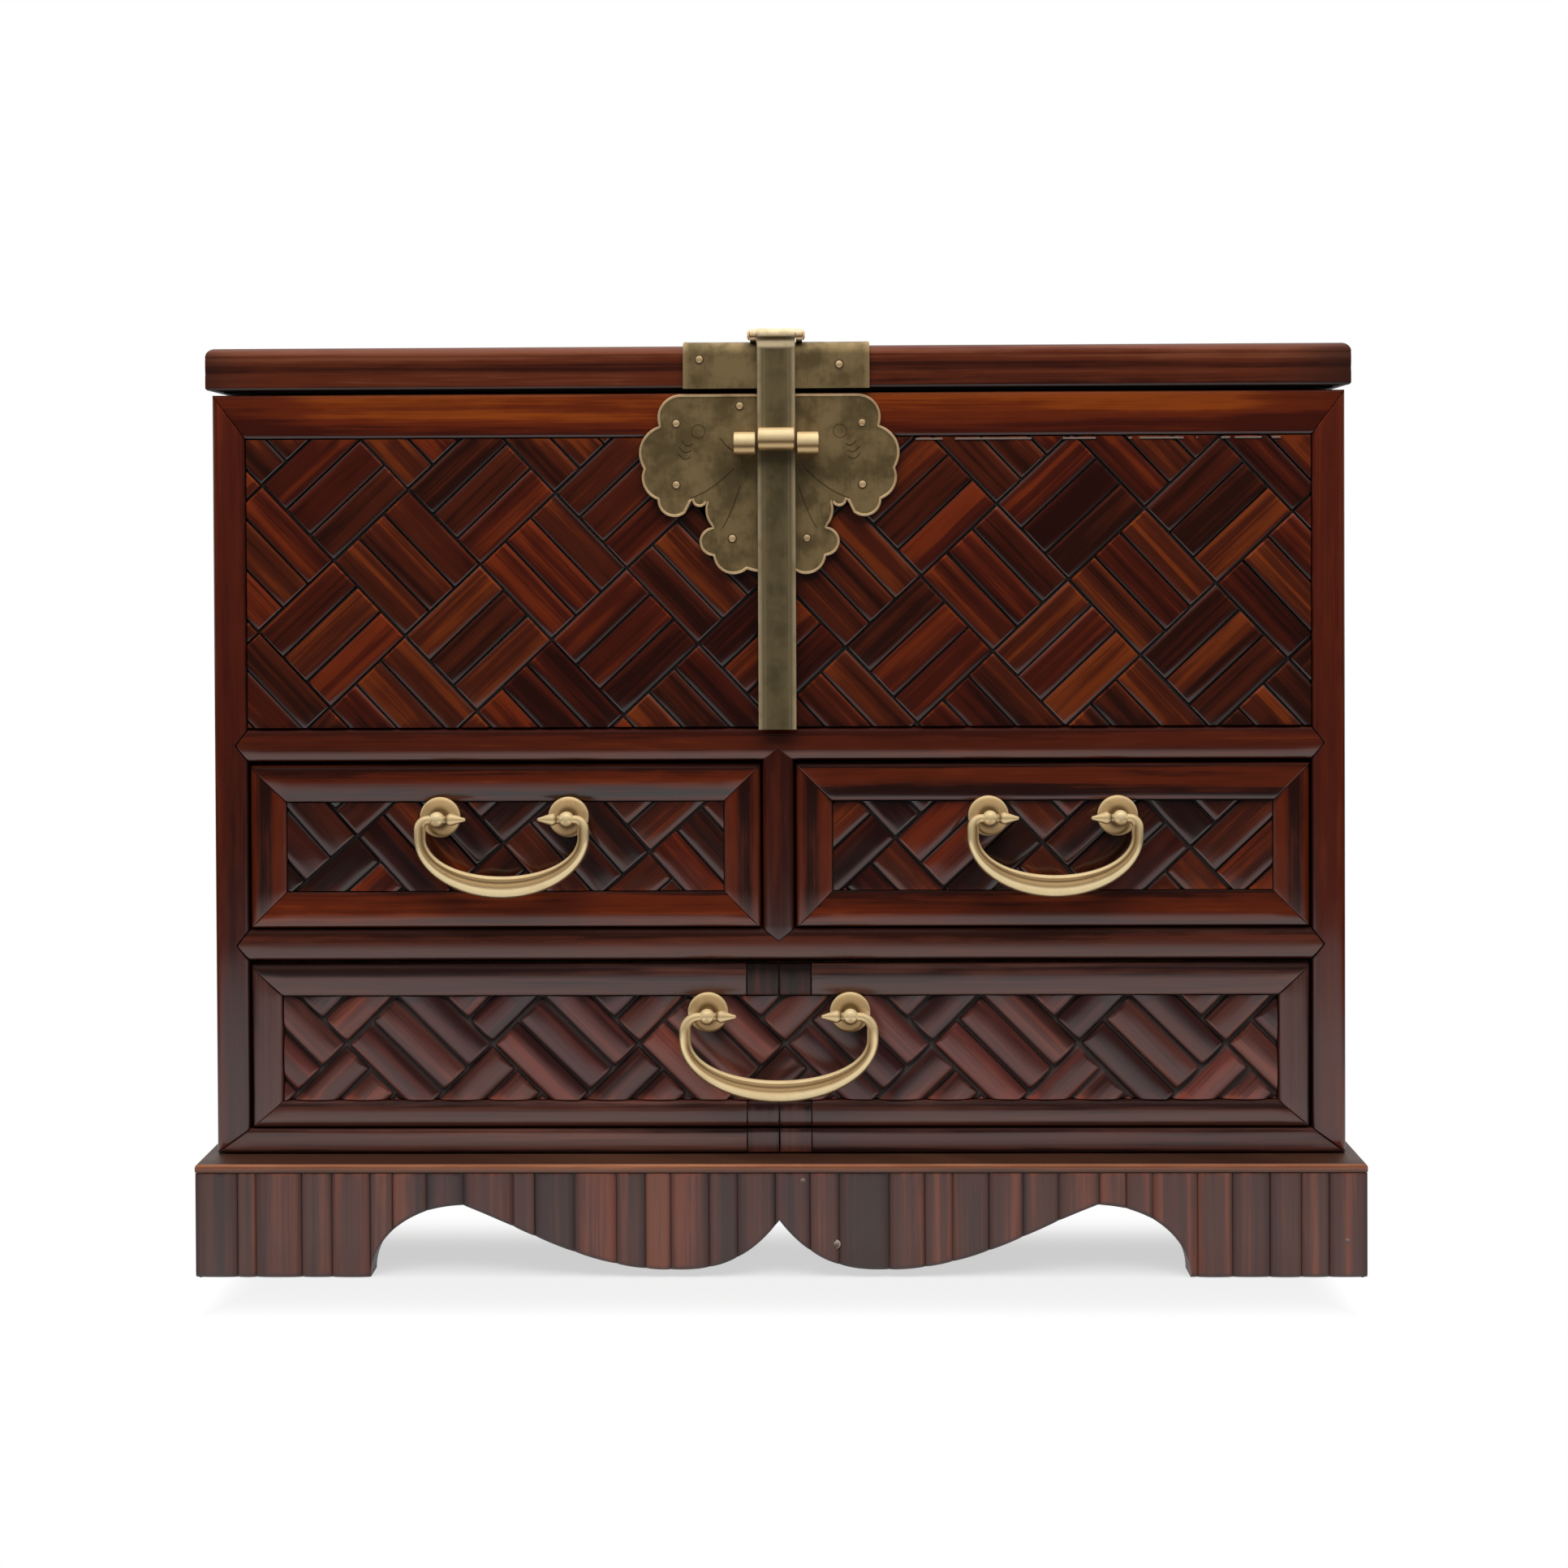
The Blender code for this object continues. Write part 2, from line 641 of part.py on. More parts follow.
def build_lid():
    w = LID_EDGE_WIDTH
    inner_x, inner_front, inner_back = half_lid - w, lid_front + w, back - w
    bm = lid_strip(False, lambda u, end, z: (end * (inner_x + u), inner_front - u, z))
    place("lid_front_edge", bm, LACQUER, "lid")
    bm = lid_strip(True, lambda u, end, z: (end * (inner_x + u), inner_back + u, z))
    place("lid_back_edge", bm, LACQUER, "lid")
    for name, side in (("lid_left_edge", -1), ("lid_right_edge", 1)):
        def point(u, end, z):
            y = inner_front - u + GLUE_GAP * 1.5 if end < 0 else inner_back + u - GLUE_GAP * 1.5
            return side * (inner_x + u), y, z

        place(name, lid_strip(False, point), LACQUER, "lid")
    limits = (GLUE_GAP - inner_x, inner_x - GLUE_GAP, inner_front + GLUE_GAP, inner_back - GLUE_GAP)
    place("lid_board", board(*limits, lid_bottom, lid_top - LID_FIELD_DROP), LACQUER, "lid")


# Brass

def rolled_sheet(y, z, bore, sheet, reach):
    """Outline of a sheet that hangs down from a knuckle rolled at its top, round (y, z)."""
    outer = arc(y, z, bore + sheet, 180, -70, ROUND_STEPS)
    inner = arc(y, z, bore, -70, 180, ROUND_STEPS)
    return [(y - bore - sheet, z - reach)] + outer + inner + [(y - bore, z - reach)]


def turned(outline, y, z):
    """The outline turned a quarter about (y, z), so that a hanging sheet lies back."""
    return [(y - (b - z), z + (a - y)) for a, b in outline]


def flipped(outline, z):
    return [(a, 2 * z - b) for a, b in outline]


def build_hinges():
    outer = hinge_bore + HINGE_SHEET
    end = HINGE_LENGTH / 2
    mid = HINGE_KNUCKLE / 2
    y0, y1 = hinge_y - outer, hinge_y - hinge_bore
    roll = rolled_sheet(hinge_y, hinge_z, hinge_bore, HINGE_SHEET, 2 * outer)
    for name, side in (("left", -1), ("right", 1)):
        x = side * (half_body - HINGE_INSET)
        leaf = board(x - end, x + end, y0, y1, hinge_z - HINGE_LEAF_REACH, hinge_z - outer - GLUE_GAP)
        leaf = place(name + "_hinge_body_leaf", leaf, PLATE_BRASS, "case")
        for k, (a, b) in enumerate(((-end, -mid - GLUE_GAP), (mid + GLUE_GAP, end))):
            knuckle = make_tool(f"{name}_body_knuckle_{k}", prism_x(roll, x + a, x + b), "case")
            combine(leaf, knuckle, "UNION")
        leaf = board(x - end, x + end, y0, y1, hinge_z + outer + GLUE_GAP, hinge_z + HINGE_LEAF_REACH)
        leaf = place(name + "_hinge_lid_leaf", leaf, PLATE_BRASS, "lid")
        knuckle = prism_x(flipped(roll, hinge_z), x - mid, x + mid)
        combine(leaf, make_tool(name + "_lid_knuckle", knuckle, "lid"), "UNION")
        pin = rod_x(hinge_y, hinge_z, HINGE_PIN_RADIUS, x - end, x + end)
        place(name + "_hinge_pin", pin, PLATE_BRASS, "case")


def bracket_outline():
    """Sheet bent over the lid's front edge: up the front, round the nose, back along the top."""
    cy, cz = lid_front + LID_ROUND, lid_top - LID_ROUND
    near, far = LID_ROUND + GLUE_GAP, LID_ROUND + GLUE_GAP + BRACKET_SHEET
    foot = lid_bottom + GLUE_GAP
    tail = lid_front + BRACKET_REACH
    inside = [(cy - near, foot)] + arc(cy, cz, near, 180, 90, 5) + [(tail, cz + near)]
    outside = [(tail, cz + far)] + arc(cy, cz, far, 90, 180, 5) + [(cy - far, foot)]
    return inside + outside


def loop_outline(root):
    """A loop for the lock's bar: a round front on a foot that reaches back to root."""
    front_half = arc(loop_y, loop_z, LOOP_RADIUS, 90, 270, ROUND_STEPS // 2)
    return [(root, loop_z + LOOP_RADIUS)] + front_half + [(root, loop_z - LOOP_RADIUS)]


def plate_outline():
    half = [PLATE_START]
    for x, z, bulge in PLATE_LOBES:
        half += lobe_points(half[-1], (x, z), bulge)
    top = case_top - PLATE_TOP_DROP
    unit = PLATE_HEIGHT / PLATE_LOBES[-1][1]
    right = [(x * unit, top - z * unit) for x, z in half]
    left = [(-x, z) for x, z in reversed(right) if x > 0]
    return [(x + PLATE_SHIFT, z) for x, z in right + left]


def lobe_points(a, b, bulge):
    """Points past a up to b on the circular arc that bulges outwards by the given height."""
    if not bulge:
        return [b]
    ax, az = a
    bx, bz = b
    chord = math.hypot(bx - ax, bz - az)
    radius = (chord**2 / 4 + bulge**2) / (2 * bulge)
    nx, nz = (bz - az) / chord, -(bx - ax) / chord
    cx = (ax + bx) / 2 + nx * (bulge - radius)
    cz = (az + bz) / 2 + nz * (bulge - radius)
    start = math.atan2(az - cz, ax - cx)
    sweep = (math.atan2(bz - cz, bx - cx) - start) % (2 * math.pi)
    points = []
    for i in range(1, LOBE_STEPS + 1):
        t = start + sweep * i / LOBE_STEPS
        points.append((cx + radius * math.cos(t), cz + radius * math.sin(t)))
    return points


def build_lock_plate():
    outline = plate_outline()
    plate = place("lock_plate", prism_y(outline, plate_face + PLATE_SHEET, plate_face), PLATE_BRASS, "case")
    near = HASP_WIDTH / 2 + LOOP_GAP
    far = near + LOOP_LENGTH
    loop = loop_outline(plate_face + PLATE_SHEET / 2)
    for name, x0, x1 in (("left", -far, -near), ("right", near, far)):
        combine(plate, make_tool(name + "_loop", prism_x(loop, x0, x1), "case"), "UNION")
    bore = rod_x(loop_y, loop_z, LOOP_BORE_RADIUS, -far - GLUE_GAP, far + GLUE_GAP)
    combine(plate, make_tool("loop_bore", bore, "case"), "DIFFERENCE")


def build_bracket():
    half = BRACKET_WIDTH / 2
    bracket = place("hasp_bracket", prism_x(bracket_outline(), -half, half), PLATE_BRASS, "lid")
    lying = turned(rolled_sheet(hasp_y, hasp_z, hasp_bore, BRACKET_SHEET, BRACKET_REACH / 2), hasp_y, hasp_z)
    near = HASP_WIDTH / 2 + GLUE_GAP
    far = near + EAR_LENGTH
    for name, x0, x1 in (("left", -far, -near), ("right", near, far)):
        combine(bracket, make_tool(name + "_ear", prism_x(lying, x0, x1), "lid"), "UNION")
    rings = []
    head = far + GLUE_GAP / 2
    tip = head + PIN_HEAD_LENGTH
    for x, r in (
        (-tip, PIN_HEAD_RADIUS / 2), (-head, PIN_HEAD_RADIUS), (-head, HASP_PIN_RADIUS),
        (head, HASP_PIN_RADIUS), (head, PIN_HEAD_RADIUS), (tip, PIN_HEAD_RADIUS / 2),
    ):
        rings.append([(x, y, z) for y, z in arc(hasp_y, hasp_z, r, 0, 360, ROUND_STEPS)[:-1]])
    place("hasp_pin", loft(rings), PULL_BRASS, "lid")


def build_hasp():
    half = HASP_WIDTH / 2
    sheet = rolled_sheet(hasp_y, hasp_z, hasp_bore, HASP_SHEET, HASP_LENGTH)
    strap = place("hasp_strap", prism_x(sheet, -half, half), PLATE_BRASS, "hasp")
    reach = half - LOOP_GAP / 2
    loop = prism_x(loop_outline(hasp_face + HASP_SHEET / 2), -reach, reach)
    combine(strap, make_tool("strap_loop", loop, "hasp"), "UNION")
    bore = rod_x(loop_y, loop_z, LOOP_BORE_RADIUS, -half, half)
    combine(strap, make_tool("strap_bore", bore, "hasp"), "DIFFERENCE")


# Drawers

def build_drawer(name, x0, x1, floor, ceiling, widths, pull):
    """One drawer in the opening from x0 to x1: box, bottom, strip frame, parquetry and pull."""
    body = name + "_drawer"
    x0, x1 = x0 + DRAWER_SIDE_GAP, x1 - DRAWER_SIDE_GAP
    z0, z1 = floor + DRAWER_SLIDE_GAP, ceiling - DRAWER_TOP_GAP
    middle_x, middle_z = (x0 + x1) / 2, (z0 + z1) / 2
    rear = board_back - DRAWER_STOP_GAP
    pivot(body, (middle_x, case_front, middle_z), "case")
    box = place(body + "_box", board(x0, x1, case_front, rear, z0, z1), PLAIN_WOOD, body)
    inner = (x0 + DRAWER_WALL, x1 - DRAWER_WALL)
    y0, y1 = case_front + DRAWER_FRONT_THICKNESS, rear - DRAWER_WALL
    over = z1 + GLUE_GAP
    cuts = {
        "cavity": board(*inner, y0, y1, z0 - GLUE_GAP, over),
        "trim": board(x0 - GLUE_GAP, x1 + GLUE_GAP, y0, rear + GLUE_GAP, z1 - DRAWER_SIDE_DROP, over),
    }
    lift = z0 + DRAWER_BOTTOM_LIFT
    grow = DRAWER_GROOVE
    bottom = (inner[0] - grow, inner[1] + grow, y0 - grow, y1 + grow)
    cuts["groove"] = board(*bottom, lift, lift + DRAWER_BOTTOM + 2 * GLUE_GAP)
    for cut, bm in cuts.items():
        combine(box, make_tool(f"{body}_{cut}", bm, body), "DIFFERENCE")
    g = GLUE_GAP
    limits = (bottom[0] + g, bottom[1] - g, bottom[2] + g, bottom[3] - g)
    lift += GLUE_GAP
    place(body + "_bottom", board(*limits, lift, lift + DRAWER_BOTTOM), PLAIN_WOOD, body)
    ring = frame_ring((x0, x1, z0, z1), widths, STRIP_DEPTH, lambda x, z, h: (x, strip_back - h, z))
    frame = place(body + "_frame", ring, DARK_LACQUER, body)
    if name == "long":
        for end, low, high in (("top", z1 - widths[3], z1), ("low", z0, z0 + widths[1])):
            blocks = make_tool(f"{body}_{end}_blocks", join_blocks(low, high), body)
            combine(frame, blocks, "UNION")
    left, low, right, high = widths
    rect = (x0 + left + g, x1 - right - g, z0 + low + g, z1 - high - g)
    field = place(body + "_parquetry", parquetry(rect, *PARQUETRY_LAYOUT[name]), LACQUER, body)
    build_pull(name, body, middle_x, middle_z + pull["raise"], pull, (box, field))


def build_pull(name, body, x, z, pull, drilled):
    bail_body = name + "_bail"
    half = pull["spacing"] / 2
    pivot(bail_body, (x, eye_y, z), body)
    for side, px in (("left", x - half), ("right", x + half)):
        hole = rod_y(px, z, SHANK_RADIUS + GLUE_GAP, front - GLUE_GAP, case_front + 2 * DRAWER_FRONT_THICKNESS)
        tool = make_tool(f"{name}_{side}_shank_hole", hole, body)
        for target in drilled:
            combine(target, tool, "DIFFERENCE")
        post = place(f"{name}_pull_{side}_post", pull_post(px, z), PULL_BRASS, body)
        eye = rod_x(eye_y, z, eye_bore, px - 2 * EYE_RADIUS, px + 2 * EYE_RADIUS)
        combine(post, make_tool(f"{name}_{side}_eye", eye, body), "DIFFERENCE")
    place(f"{name}_pull_bail", bail(x, z, pull), PULL_BRASS, bail_body)


def pull_post(x, z):
    """A turned post: clinched head inside the drawer, shank, rosette, neck and eye."""
    inside = case_front + DRAWER_FRONT_THICKNESS + GLUE_GAP
    seat = parquetry_face - GLUE_GAP
    profile = [
        (inside + SHANK_HEAD_THICKNESS, SHANK_HEAD_RADIUS * 0.7),
        (inside, SHANK_HEAD_RADIUS),
        (inside, SHANK_RADIUS),
        (seat, SHANK_RADIUS),
        (seat, ROSETTE_RADIUS),
        (seat - ROSETTE_RISE * 0.4, ROSETTE_RADIUS),
        (seat - ROSETTE_RISE * 0.85, ROSETTE_RADIUS * 0.72),
        (seat - ROSETTE_RISE, NECK_RADIUS * 1.5),
        (seat - ROSETTE_RISE * 1.2, NECK_RADIUS),
    ]
    for i in range(1, 6):
        a = math.radians(45 + 135 * i / 6)
        profile.append((eye_y + EYE_RADIUS * math.cos(a), EYE_RADIUS * math.sin(a)))
    rings = []
    for y, r in profile:
        rings.append([(px, y, pz) for px, pz in arc(x, z, r, 0, 360, POST_SIDES)[:-1]])
    return loft(rings)


def bail(x, z, pull):
    """A hanging bail. Each half runs from its finial through the eye, over a rounded shoulder,
    down the side and along a quarter ellipse, thickening towards the foot."""
    eye = pull["spacing"] / 2
    shoulder = pull["shoulder"]
    ends = EYE_RADIUS + PIN_CLEARANCE
    half = []
    for px, r in (
        (eye - FINIAL_LENGTH, FINIAL_TIP_RADIUS),
        (eye - ends - FINIAL_RADIUS, FINIAL_RADIUS),
        (eye - ends - GLUE_GAP, BAIL_END_RADIUS),
        (eye, BAIL_END_RADIUS),
    ):
        half.append((px, 0.0, 0.0, r, r))
    for i in range(4):
        a = math.pi / 2 * i / 4
        r = BAIL_END_RADIUS + (BAIL_SIDE_RADIUS - BAIL_END_RADIUS) * i / 4
        half.append((eye + ends + shoulder * math.sin(a), shoulder * (math.cos(a) - 1), -a, r, r))
    wide = eye + ends + shoulder
    start = shoulder + BAIL_SIDE
    deep = pull["drop"] - BAIL_FOOT_RADIUS - start
    half.append((wide, -shoulder, -math.pi / 2, BAIL_SIDE_RADIUS, BAIL_SIDE_RADIUS))
    for i in range(BAIL_STEPS + 1):
        a = math.pi / 2 * i / BAIL_STEPS
        lean = math.atan2(-deep * math.cos(a), -wide * math.sin(a))
        r = BAIL_SIDE_RADIUS + (BAIL_FOOT_RADIUS - BAIL_SIDE_RADIUS) * math.sin(a) ** 2
        d = BAIL_SIDE_RADIUS + (BAIL_FOOT_DEPTH - BAIL_SIDE_RADIUS) * math.sin(a)
        half.append((wide * math.cos(a), -start - deep * math.sin(a), lean, r, d))
    stations = half + [(-px, pz, -lean, r, d) for px, pz, lean, r, d in reversed(half[:-1])]
    rings = []
    for px, pz, lean, r, d in stations:
        nx, nz = -math.sin(lean), math.cos(lean)
        ring = []
        for k in range(BAIL_SIDES):
            a = 2 * math.pi * (k + 0.5) / BAIL_SIDES
            c, s = r * math.cos(a), d * math.sin(a)
            ring.append((x + px + nx * c, eye_y + s, z + pz + nz * c))
        rings.append(ring)
    return loft(rings)


def main():
    clear_scene()
    pivot("case", (0, 0, 0))
    pivot("lid", (0, hinge_y, hinge_z), "case")
    pivot("hasp", (0, hasp_y, hasp_z), "lid")
    build_plinth()
    build_case()
    build_front_frame()
    build_lid()
    build_hinges()
    build_lock_plate()
    build_bracket()
    build_hasp()
    small = {
        "spacing": SMALL_PULL_SPACING, "raise": SMALL_PULL_RAISE,
        "drop": SMALL_BAIL_DROP, "shoulder": SMALL_BAIL_SHOULDER,
    }
    wide = {
        "spacing": LONG_PULL_SPACING, "raise": LONG_PULL_RAISE,
        "drop": LONG_BAIL_DROP, "shoulder": LONG_BAIL_SHOULDER,
    }
    even = (SMALL_FRAME_WIDTH,) * 4
    post = POST_WIDTH / 2
    build_drawer("left", -half_opening, -post, small_floor, small_ceiling, even, small)
    build_drawer("right", post, half_opening, small_floor, small_ceiling, even, small)
    widths = (LONG_FRAME_WIDTH, LONG_FRAME_BOTTOM, LONG_FRAME_WIDTH, LONG_FRAME_WIDTH)
    build_drawer("long", -half_opening, half_opening, long_floor, long_ceiling, widths, wide)
    for name, (_, point) in pivots.items():
        print(name, [round(c, 5) for c in point])


main()
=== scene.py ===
from math import pi, radians, sin, cos

import bmesh
import bpy
import numpy as np
from mathutils import Matrix, Vector


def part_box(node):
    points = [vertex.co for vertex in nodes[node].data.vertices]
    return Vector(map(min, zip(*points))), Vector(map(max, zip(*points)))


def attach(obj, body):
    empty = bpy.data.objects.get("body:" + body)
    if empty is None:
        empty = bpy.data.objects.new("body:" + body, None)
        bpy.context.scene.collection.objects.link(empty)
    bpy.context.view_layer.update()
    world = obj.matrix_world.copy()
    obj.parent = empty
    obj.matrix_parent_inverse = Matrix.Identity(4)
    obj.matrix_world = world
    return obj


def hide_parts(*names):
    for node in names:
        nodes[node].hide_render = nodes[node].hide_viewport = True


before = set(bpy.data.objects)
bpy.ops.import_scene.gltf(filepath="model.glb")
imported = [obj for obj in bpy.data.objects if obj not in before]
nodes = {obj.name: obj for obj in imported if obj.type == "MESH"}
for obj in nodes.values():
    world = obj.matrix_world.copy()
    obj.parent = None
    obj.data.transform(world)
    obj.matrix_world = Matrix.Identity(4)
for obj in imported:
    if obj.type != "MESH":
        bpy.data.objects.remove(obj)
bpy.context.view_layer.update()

scene = bpy.context.scene


def edges(name):
    low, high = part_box(name)
    return np.array(low), np.array(high)


def addObject(name, data):
    made = bpy.data.objects.new(name, data)
    scene.collection.objects.link(made)
    return made


cameraSet = {"place": (0.0124, -0.8445, 0.236), "yaw": 0.794, "pitch": 0.708, "roll": -0.256,
             "lens": 51.235, "sensor": 36, "shift": -0.1319}


def makeCamera(s):
    yaw, pitch, roll = radians(s["yaw"]), radians(s["pitch"]), radians(s["roll"])
    ahead = Vector((-sin(yaw) * cos(pitch), cos(yaw) * cos(pitch), -sin(pitch)))
    right = Vector((cos(yaw), sin(yaw), 0))
    up = right.cross(ahead)
    tilted = (cos(roll) * right + sin(roll) * up, cos(roll) * up - sin(roll) * right, -ahead)
    data = bpy.data.cameras.new("camera")
    data.lens, data.sensor_width, data.shift_y = s["lens"], s["sensor"], s["shift"]
    camera = addObject("camera", data)
    camera.matrix_world = Matrix.Translation(s["place"]) @ Matrix(tilted).transposed().to_4x4()
    scene.camera = camera


def colour(r, g, b):
    # sRGB 0-255 to the linear colour the sockets take
    c = np.array([r, g, b]) / 255
    linear = np.where(c <= 0.04045, c / 12.92, ((c + 0.055) / 1.055) ** 2.4)
    return (*[float(x) for x in linear], 1.0)


# node helpers: a value is either a socket to link or a constant
def addNode(tree, kind, inputs=(), **settings):
    made = tree.nodes.new(kind)
    for key, value in settings.items():
        setattr(made, key, value)
    for socket, value in inputs:
        if isinstance(value, bpy.types.NodeSocket):
            tree.links.new(value, made.inputs[socket])
        else:
            made.inputs[socket].default_value = value
    return made


def calc(tree, operation, *values, clamp=False):
    made = addNode(tree, "ShaderNodeMath", enumerate(values), operation=operation, use_clamp=clamp)
    return made.outputs[0]


def times(tree, a, b):
    return calc(tree, "MULTIPLY", a, b)


def total(tree, value, *others):
    for other in others:
        value = calc(tree, "ADD", value, other)
    return value


def largest(tree, value, *others):
    for other in others:
        value = calc(tree, "MAXIMUM", value, other)
    return value


def swing(tree, value, amount):
    # how far value lies from a half, times amount
    return times(tree, calc(tree, "SUBTRACT", value, 0.5), amount)


def ramp(tree, value, low, high, outLow=0.0, outHigh=1.0):
    # smooth step of value from low..high to outLow..outHigh
    rows = (("Value", value), ("From Min", low), ("From Max", high), ("To Min", outLow), ("To Max", outHigh))
    return addNode(tree, "ShaderNodeMapRange", rows, interpolation_type="SMOOTHSTEP").outputs[0]


def mixColour(tree, share, a, b, blend="MIX"):
    rows = ((0, share), (6, a), (7, b))
    return addNode(tree, "ShaderNodeMix", rows, data_type="RGBA", blend_type=blend).outputs[2]


def axesOf(tree, vector):
    return addNode(tree, "ShaderNodeSeparateXYZ", [(0, vector)]).outputs


def stretch(tree, at, factors):
    return [times(tree, at[i], f) for i, f in enumerate(factors)]


def noiseAt(tree, x, y, z, detail=2.0, roughness=0.5):
    place = addNode(tree, "ShaderNodeCombineXYZ", enumerate((x, y, z))).outputs[0]
    rows = (("Vector", place), ("Scale", 1.0), ("Detail", detail), ("Roughness", roughness))
    return addNode(tree, "ShaderNodeTexNoise", rows).outputs["Fac"]


lightSet = {
    "key": {"place": (0.0, -0.52, 1.15), "aim": (0.0, -0.10, 0.12), "size": (1.35, 0.85), "watts": 23.0},
    "ambient": 0.36, "frontDim": 0.035, "behind": (-0.30, 0.15), "overhead": (0.70, 0.95, 0.0, 0.16),
}


def makeLights(s):
    k = s["key"]
    data = bpy.data.lights.new("key", "AREA")
    data.shape, (data.size, data.size_y), data.energy = "RECTANGLE", k["size"], k["watts"]
    key = addObject("key", data)
    key.visible_glossy = False
    key.location = k["place"]
    key.rotation_euler = (Vector(k["aim"]) - Vector(k["place"])).to_track_quat("-Z", "Y").to_euler()

    world = bpy.data.worlds.new("studio")
    scene.world = world
    world.use_nodes = True
    tree = world.node_tree
    tree.nodes.clear()
    ray = addNode(tree, "ShaderNodeLightPath").outputs
    way = axesOf(tree, addNode(tree, "ShaderNodeTexCoord").outputs["Generated"])
    # what gloss sees: white all round, but the room behind the photographer is dim up to the lamps
    room = largest(tree, ramp(tree, way["Y"], *s["behind"]), ramp(tree, way["Z"], *s["overhead"]), s["frontDim"])
    seen = largest(tree, ray["Is Camera Ray"], ray["Is Transmission Ray"])
    backdrop = largest(tree, seen, times(tree, room, ray["Is Glossy Ray"]))
    unseen = calc(tree, "SUBTRACT", 1.0, largest(tree, seen, ray["Is Glossy Ray"]))
    strength = total(tree, backdrop, times(tree, unseen, s["ambient"]))
    light = addNode(tree, "ShaderNodeBackground", [("Color", (1, 1, 1, 1)), ("Strength", strength)])
    out = addNode(tree, "ShaderNodeOutputWorld")
    tree.links.new(light.outputs[0], out.inputs["Surface"])


floorSet = {
    "half": 4, "front": -0.85, "back": 5, "colour": 0.20, "glow": 0.60,
    # where the shadow runs out: beside the chest, before it and under it; under it the floor glows white from a
    # little behind the front, painted light where the chest's shadow falls
    "aside": (0.165, 0.200), "before": (-0.135, -0.200), "under": (-0.098, -0.040),
    # where the paper fades out in the gloss of the lacquer
    "glossFront": -0.40, "glossAside": (0.65, 0.30),
}


def makeFloor(s):
    half, front, back = s["half"], s["front"], s["back"]
    mesh = bpy.data.meshes.new("floor")
    mesh.from_pydata([(-half, front, 0), (half, front, 0), (half, back, 0), (-half, back, 0)], [], [(0, 1, 2, 3)])
    floor = addObject("floor", mesh)
    paper = bpy.data.materials.new("paperFloor")
    paper.use_nodes = True
    tree = paper.node_tree
    tree.nodes.clear()
    ray = addNode(tree, "ShaderNodeLightPath").outputs
    at = axesOf(tree, addNode(tree, "ShaderNodeTexCoord").outputs["Object"])
    # shadows show near the chest; further off the paper runs into the white of the backdrop, and under the back of
    # the chest its glow is painted light over the shadow
    aside = calc(tree, "ABSOLUTE", at[0])
    far = largest(tree, ramp(tree, aside, *s["aside"]), *[ramp(tree, at[1], *s[k]) for k in ("before", "under")])
    fade = times(tree, ramp(tree, at[1], front, s["glossFront"]), ramp(tree, aside, *s["glossAside"]))
    gloss = times(tree, ray["Is Glossy Ray"], fade)
    seen = largest(tree, ray["Is Camera Ray"], ray["Is Transmission Ray"], gloss)
    glow = ramp(tree, far, 0.0, 1.0, s["glow"], 1.0)
    pale = addNode(tree, "ShaderNodeBsdfDiffuse", [("Color", (s["colour"],) * 3 + (1,))])
    shine = addNode(tree, "ShaderNodeEmission", [("Strength", times(tree, seen, glow))])
    clear = addNode(tree, "ShaderNodeEmission", [("Strength", seen)])
    both = addNode(tree, "ShaderNodeAddShader", [(0, pale.outputs[0]), (1, shine.outputs[0])])
    mixed = addNode(tree, "ShaderNodeMixShader", [(0, far), (1, both.outputs[0]), (2, clear.outputs[0])])
    out = addNode(tree, "ShaderNodeOutputMaterial")
    tree.links.new(mixed.outputs[0], out.inputs["Surface"])
    mesh.materials.append(paper)


makeCamera(cameraSet)
makeLights(lightSet)
makeFloor(floorSet)
scene.view_settings.view_transform = "Standard"
print("camera, light and floor ready")


def makeGroup(name, inputs, outputs):
    # the sockets' names are listed under their kind
    tree = bpy.data.node_groups.new(name, "ShaderNodeTree")
    for way, kinds in (("INPUT", inputs), ("OUTPUT", outputs)):
        for kind, names in kinds.items():
            for socket in names.split():
                tree.interface.new_socket(name=socket, in_out=way, socket_type="NodeSocket" + kind)
    return tree, tree.nodes.new("NodeGroupInput").outputs, tree.nodes.new("NodeGroupOutput").inputs


stripGrainSet = {
    "shift": 57.0, "bandLong": 5.0, "fibre": (26.0, 1500.0), "fleck": (70.0, 420.0),
    "fibreShare": 0.55, "fleckShare": 0.35, "paintedLightShare": 0.26, "base": 0.45,
    "redder": (0.82, 0.50, 0.66, 1), "groove": (0.0040, 0.0026, 0.0021, 1), "dust": (0.075, 0.066, 0.060, 1),
    "groovePower": 1.6, "grooveShare": 0.90, "fleckRough": 0.14, "rimRough": 0.40, "fibreRelief": 0.35,
}


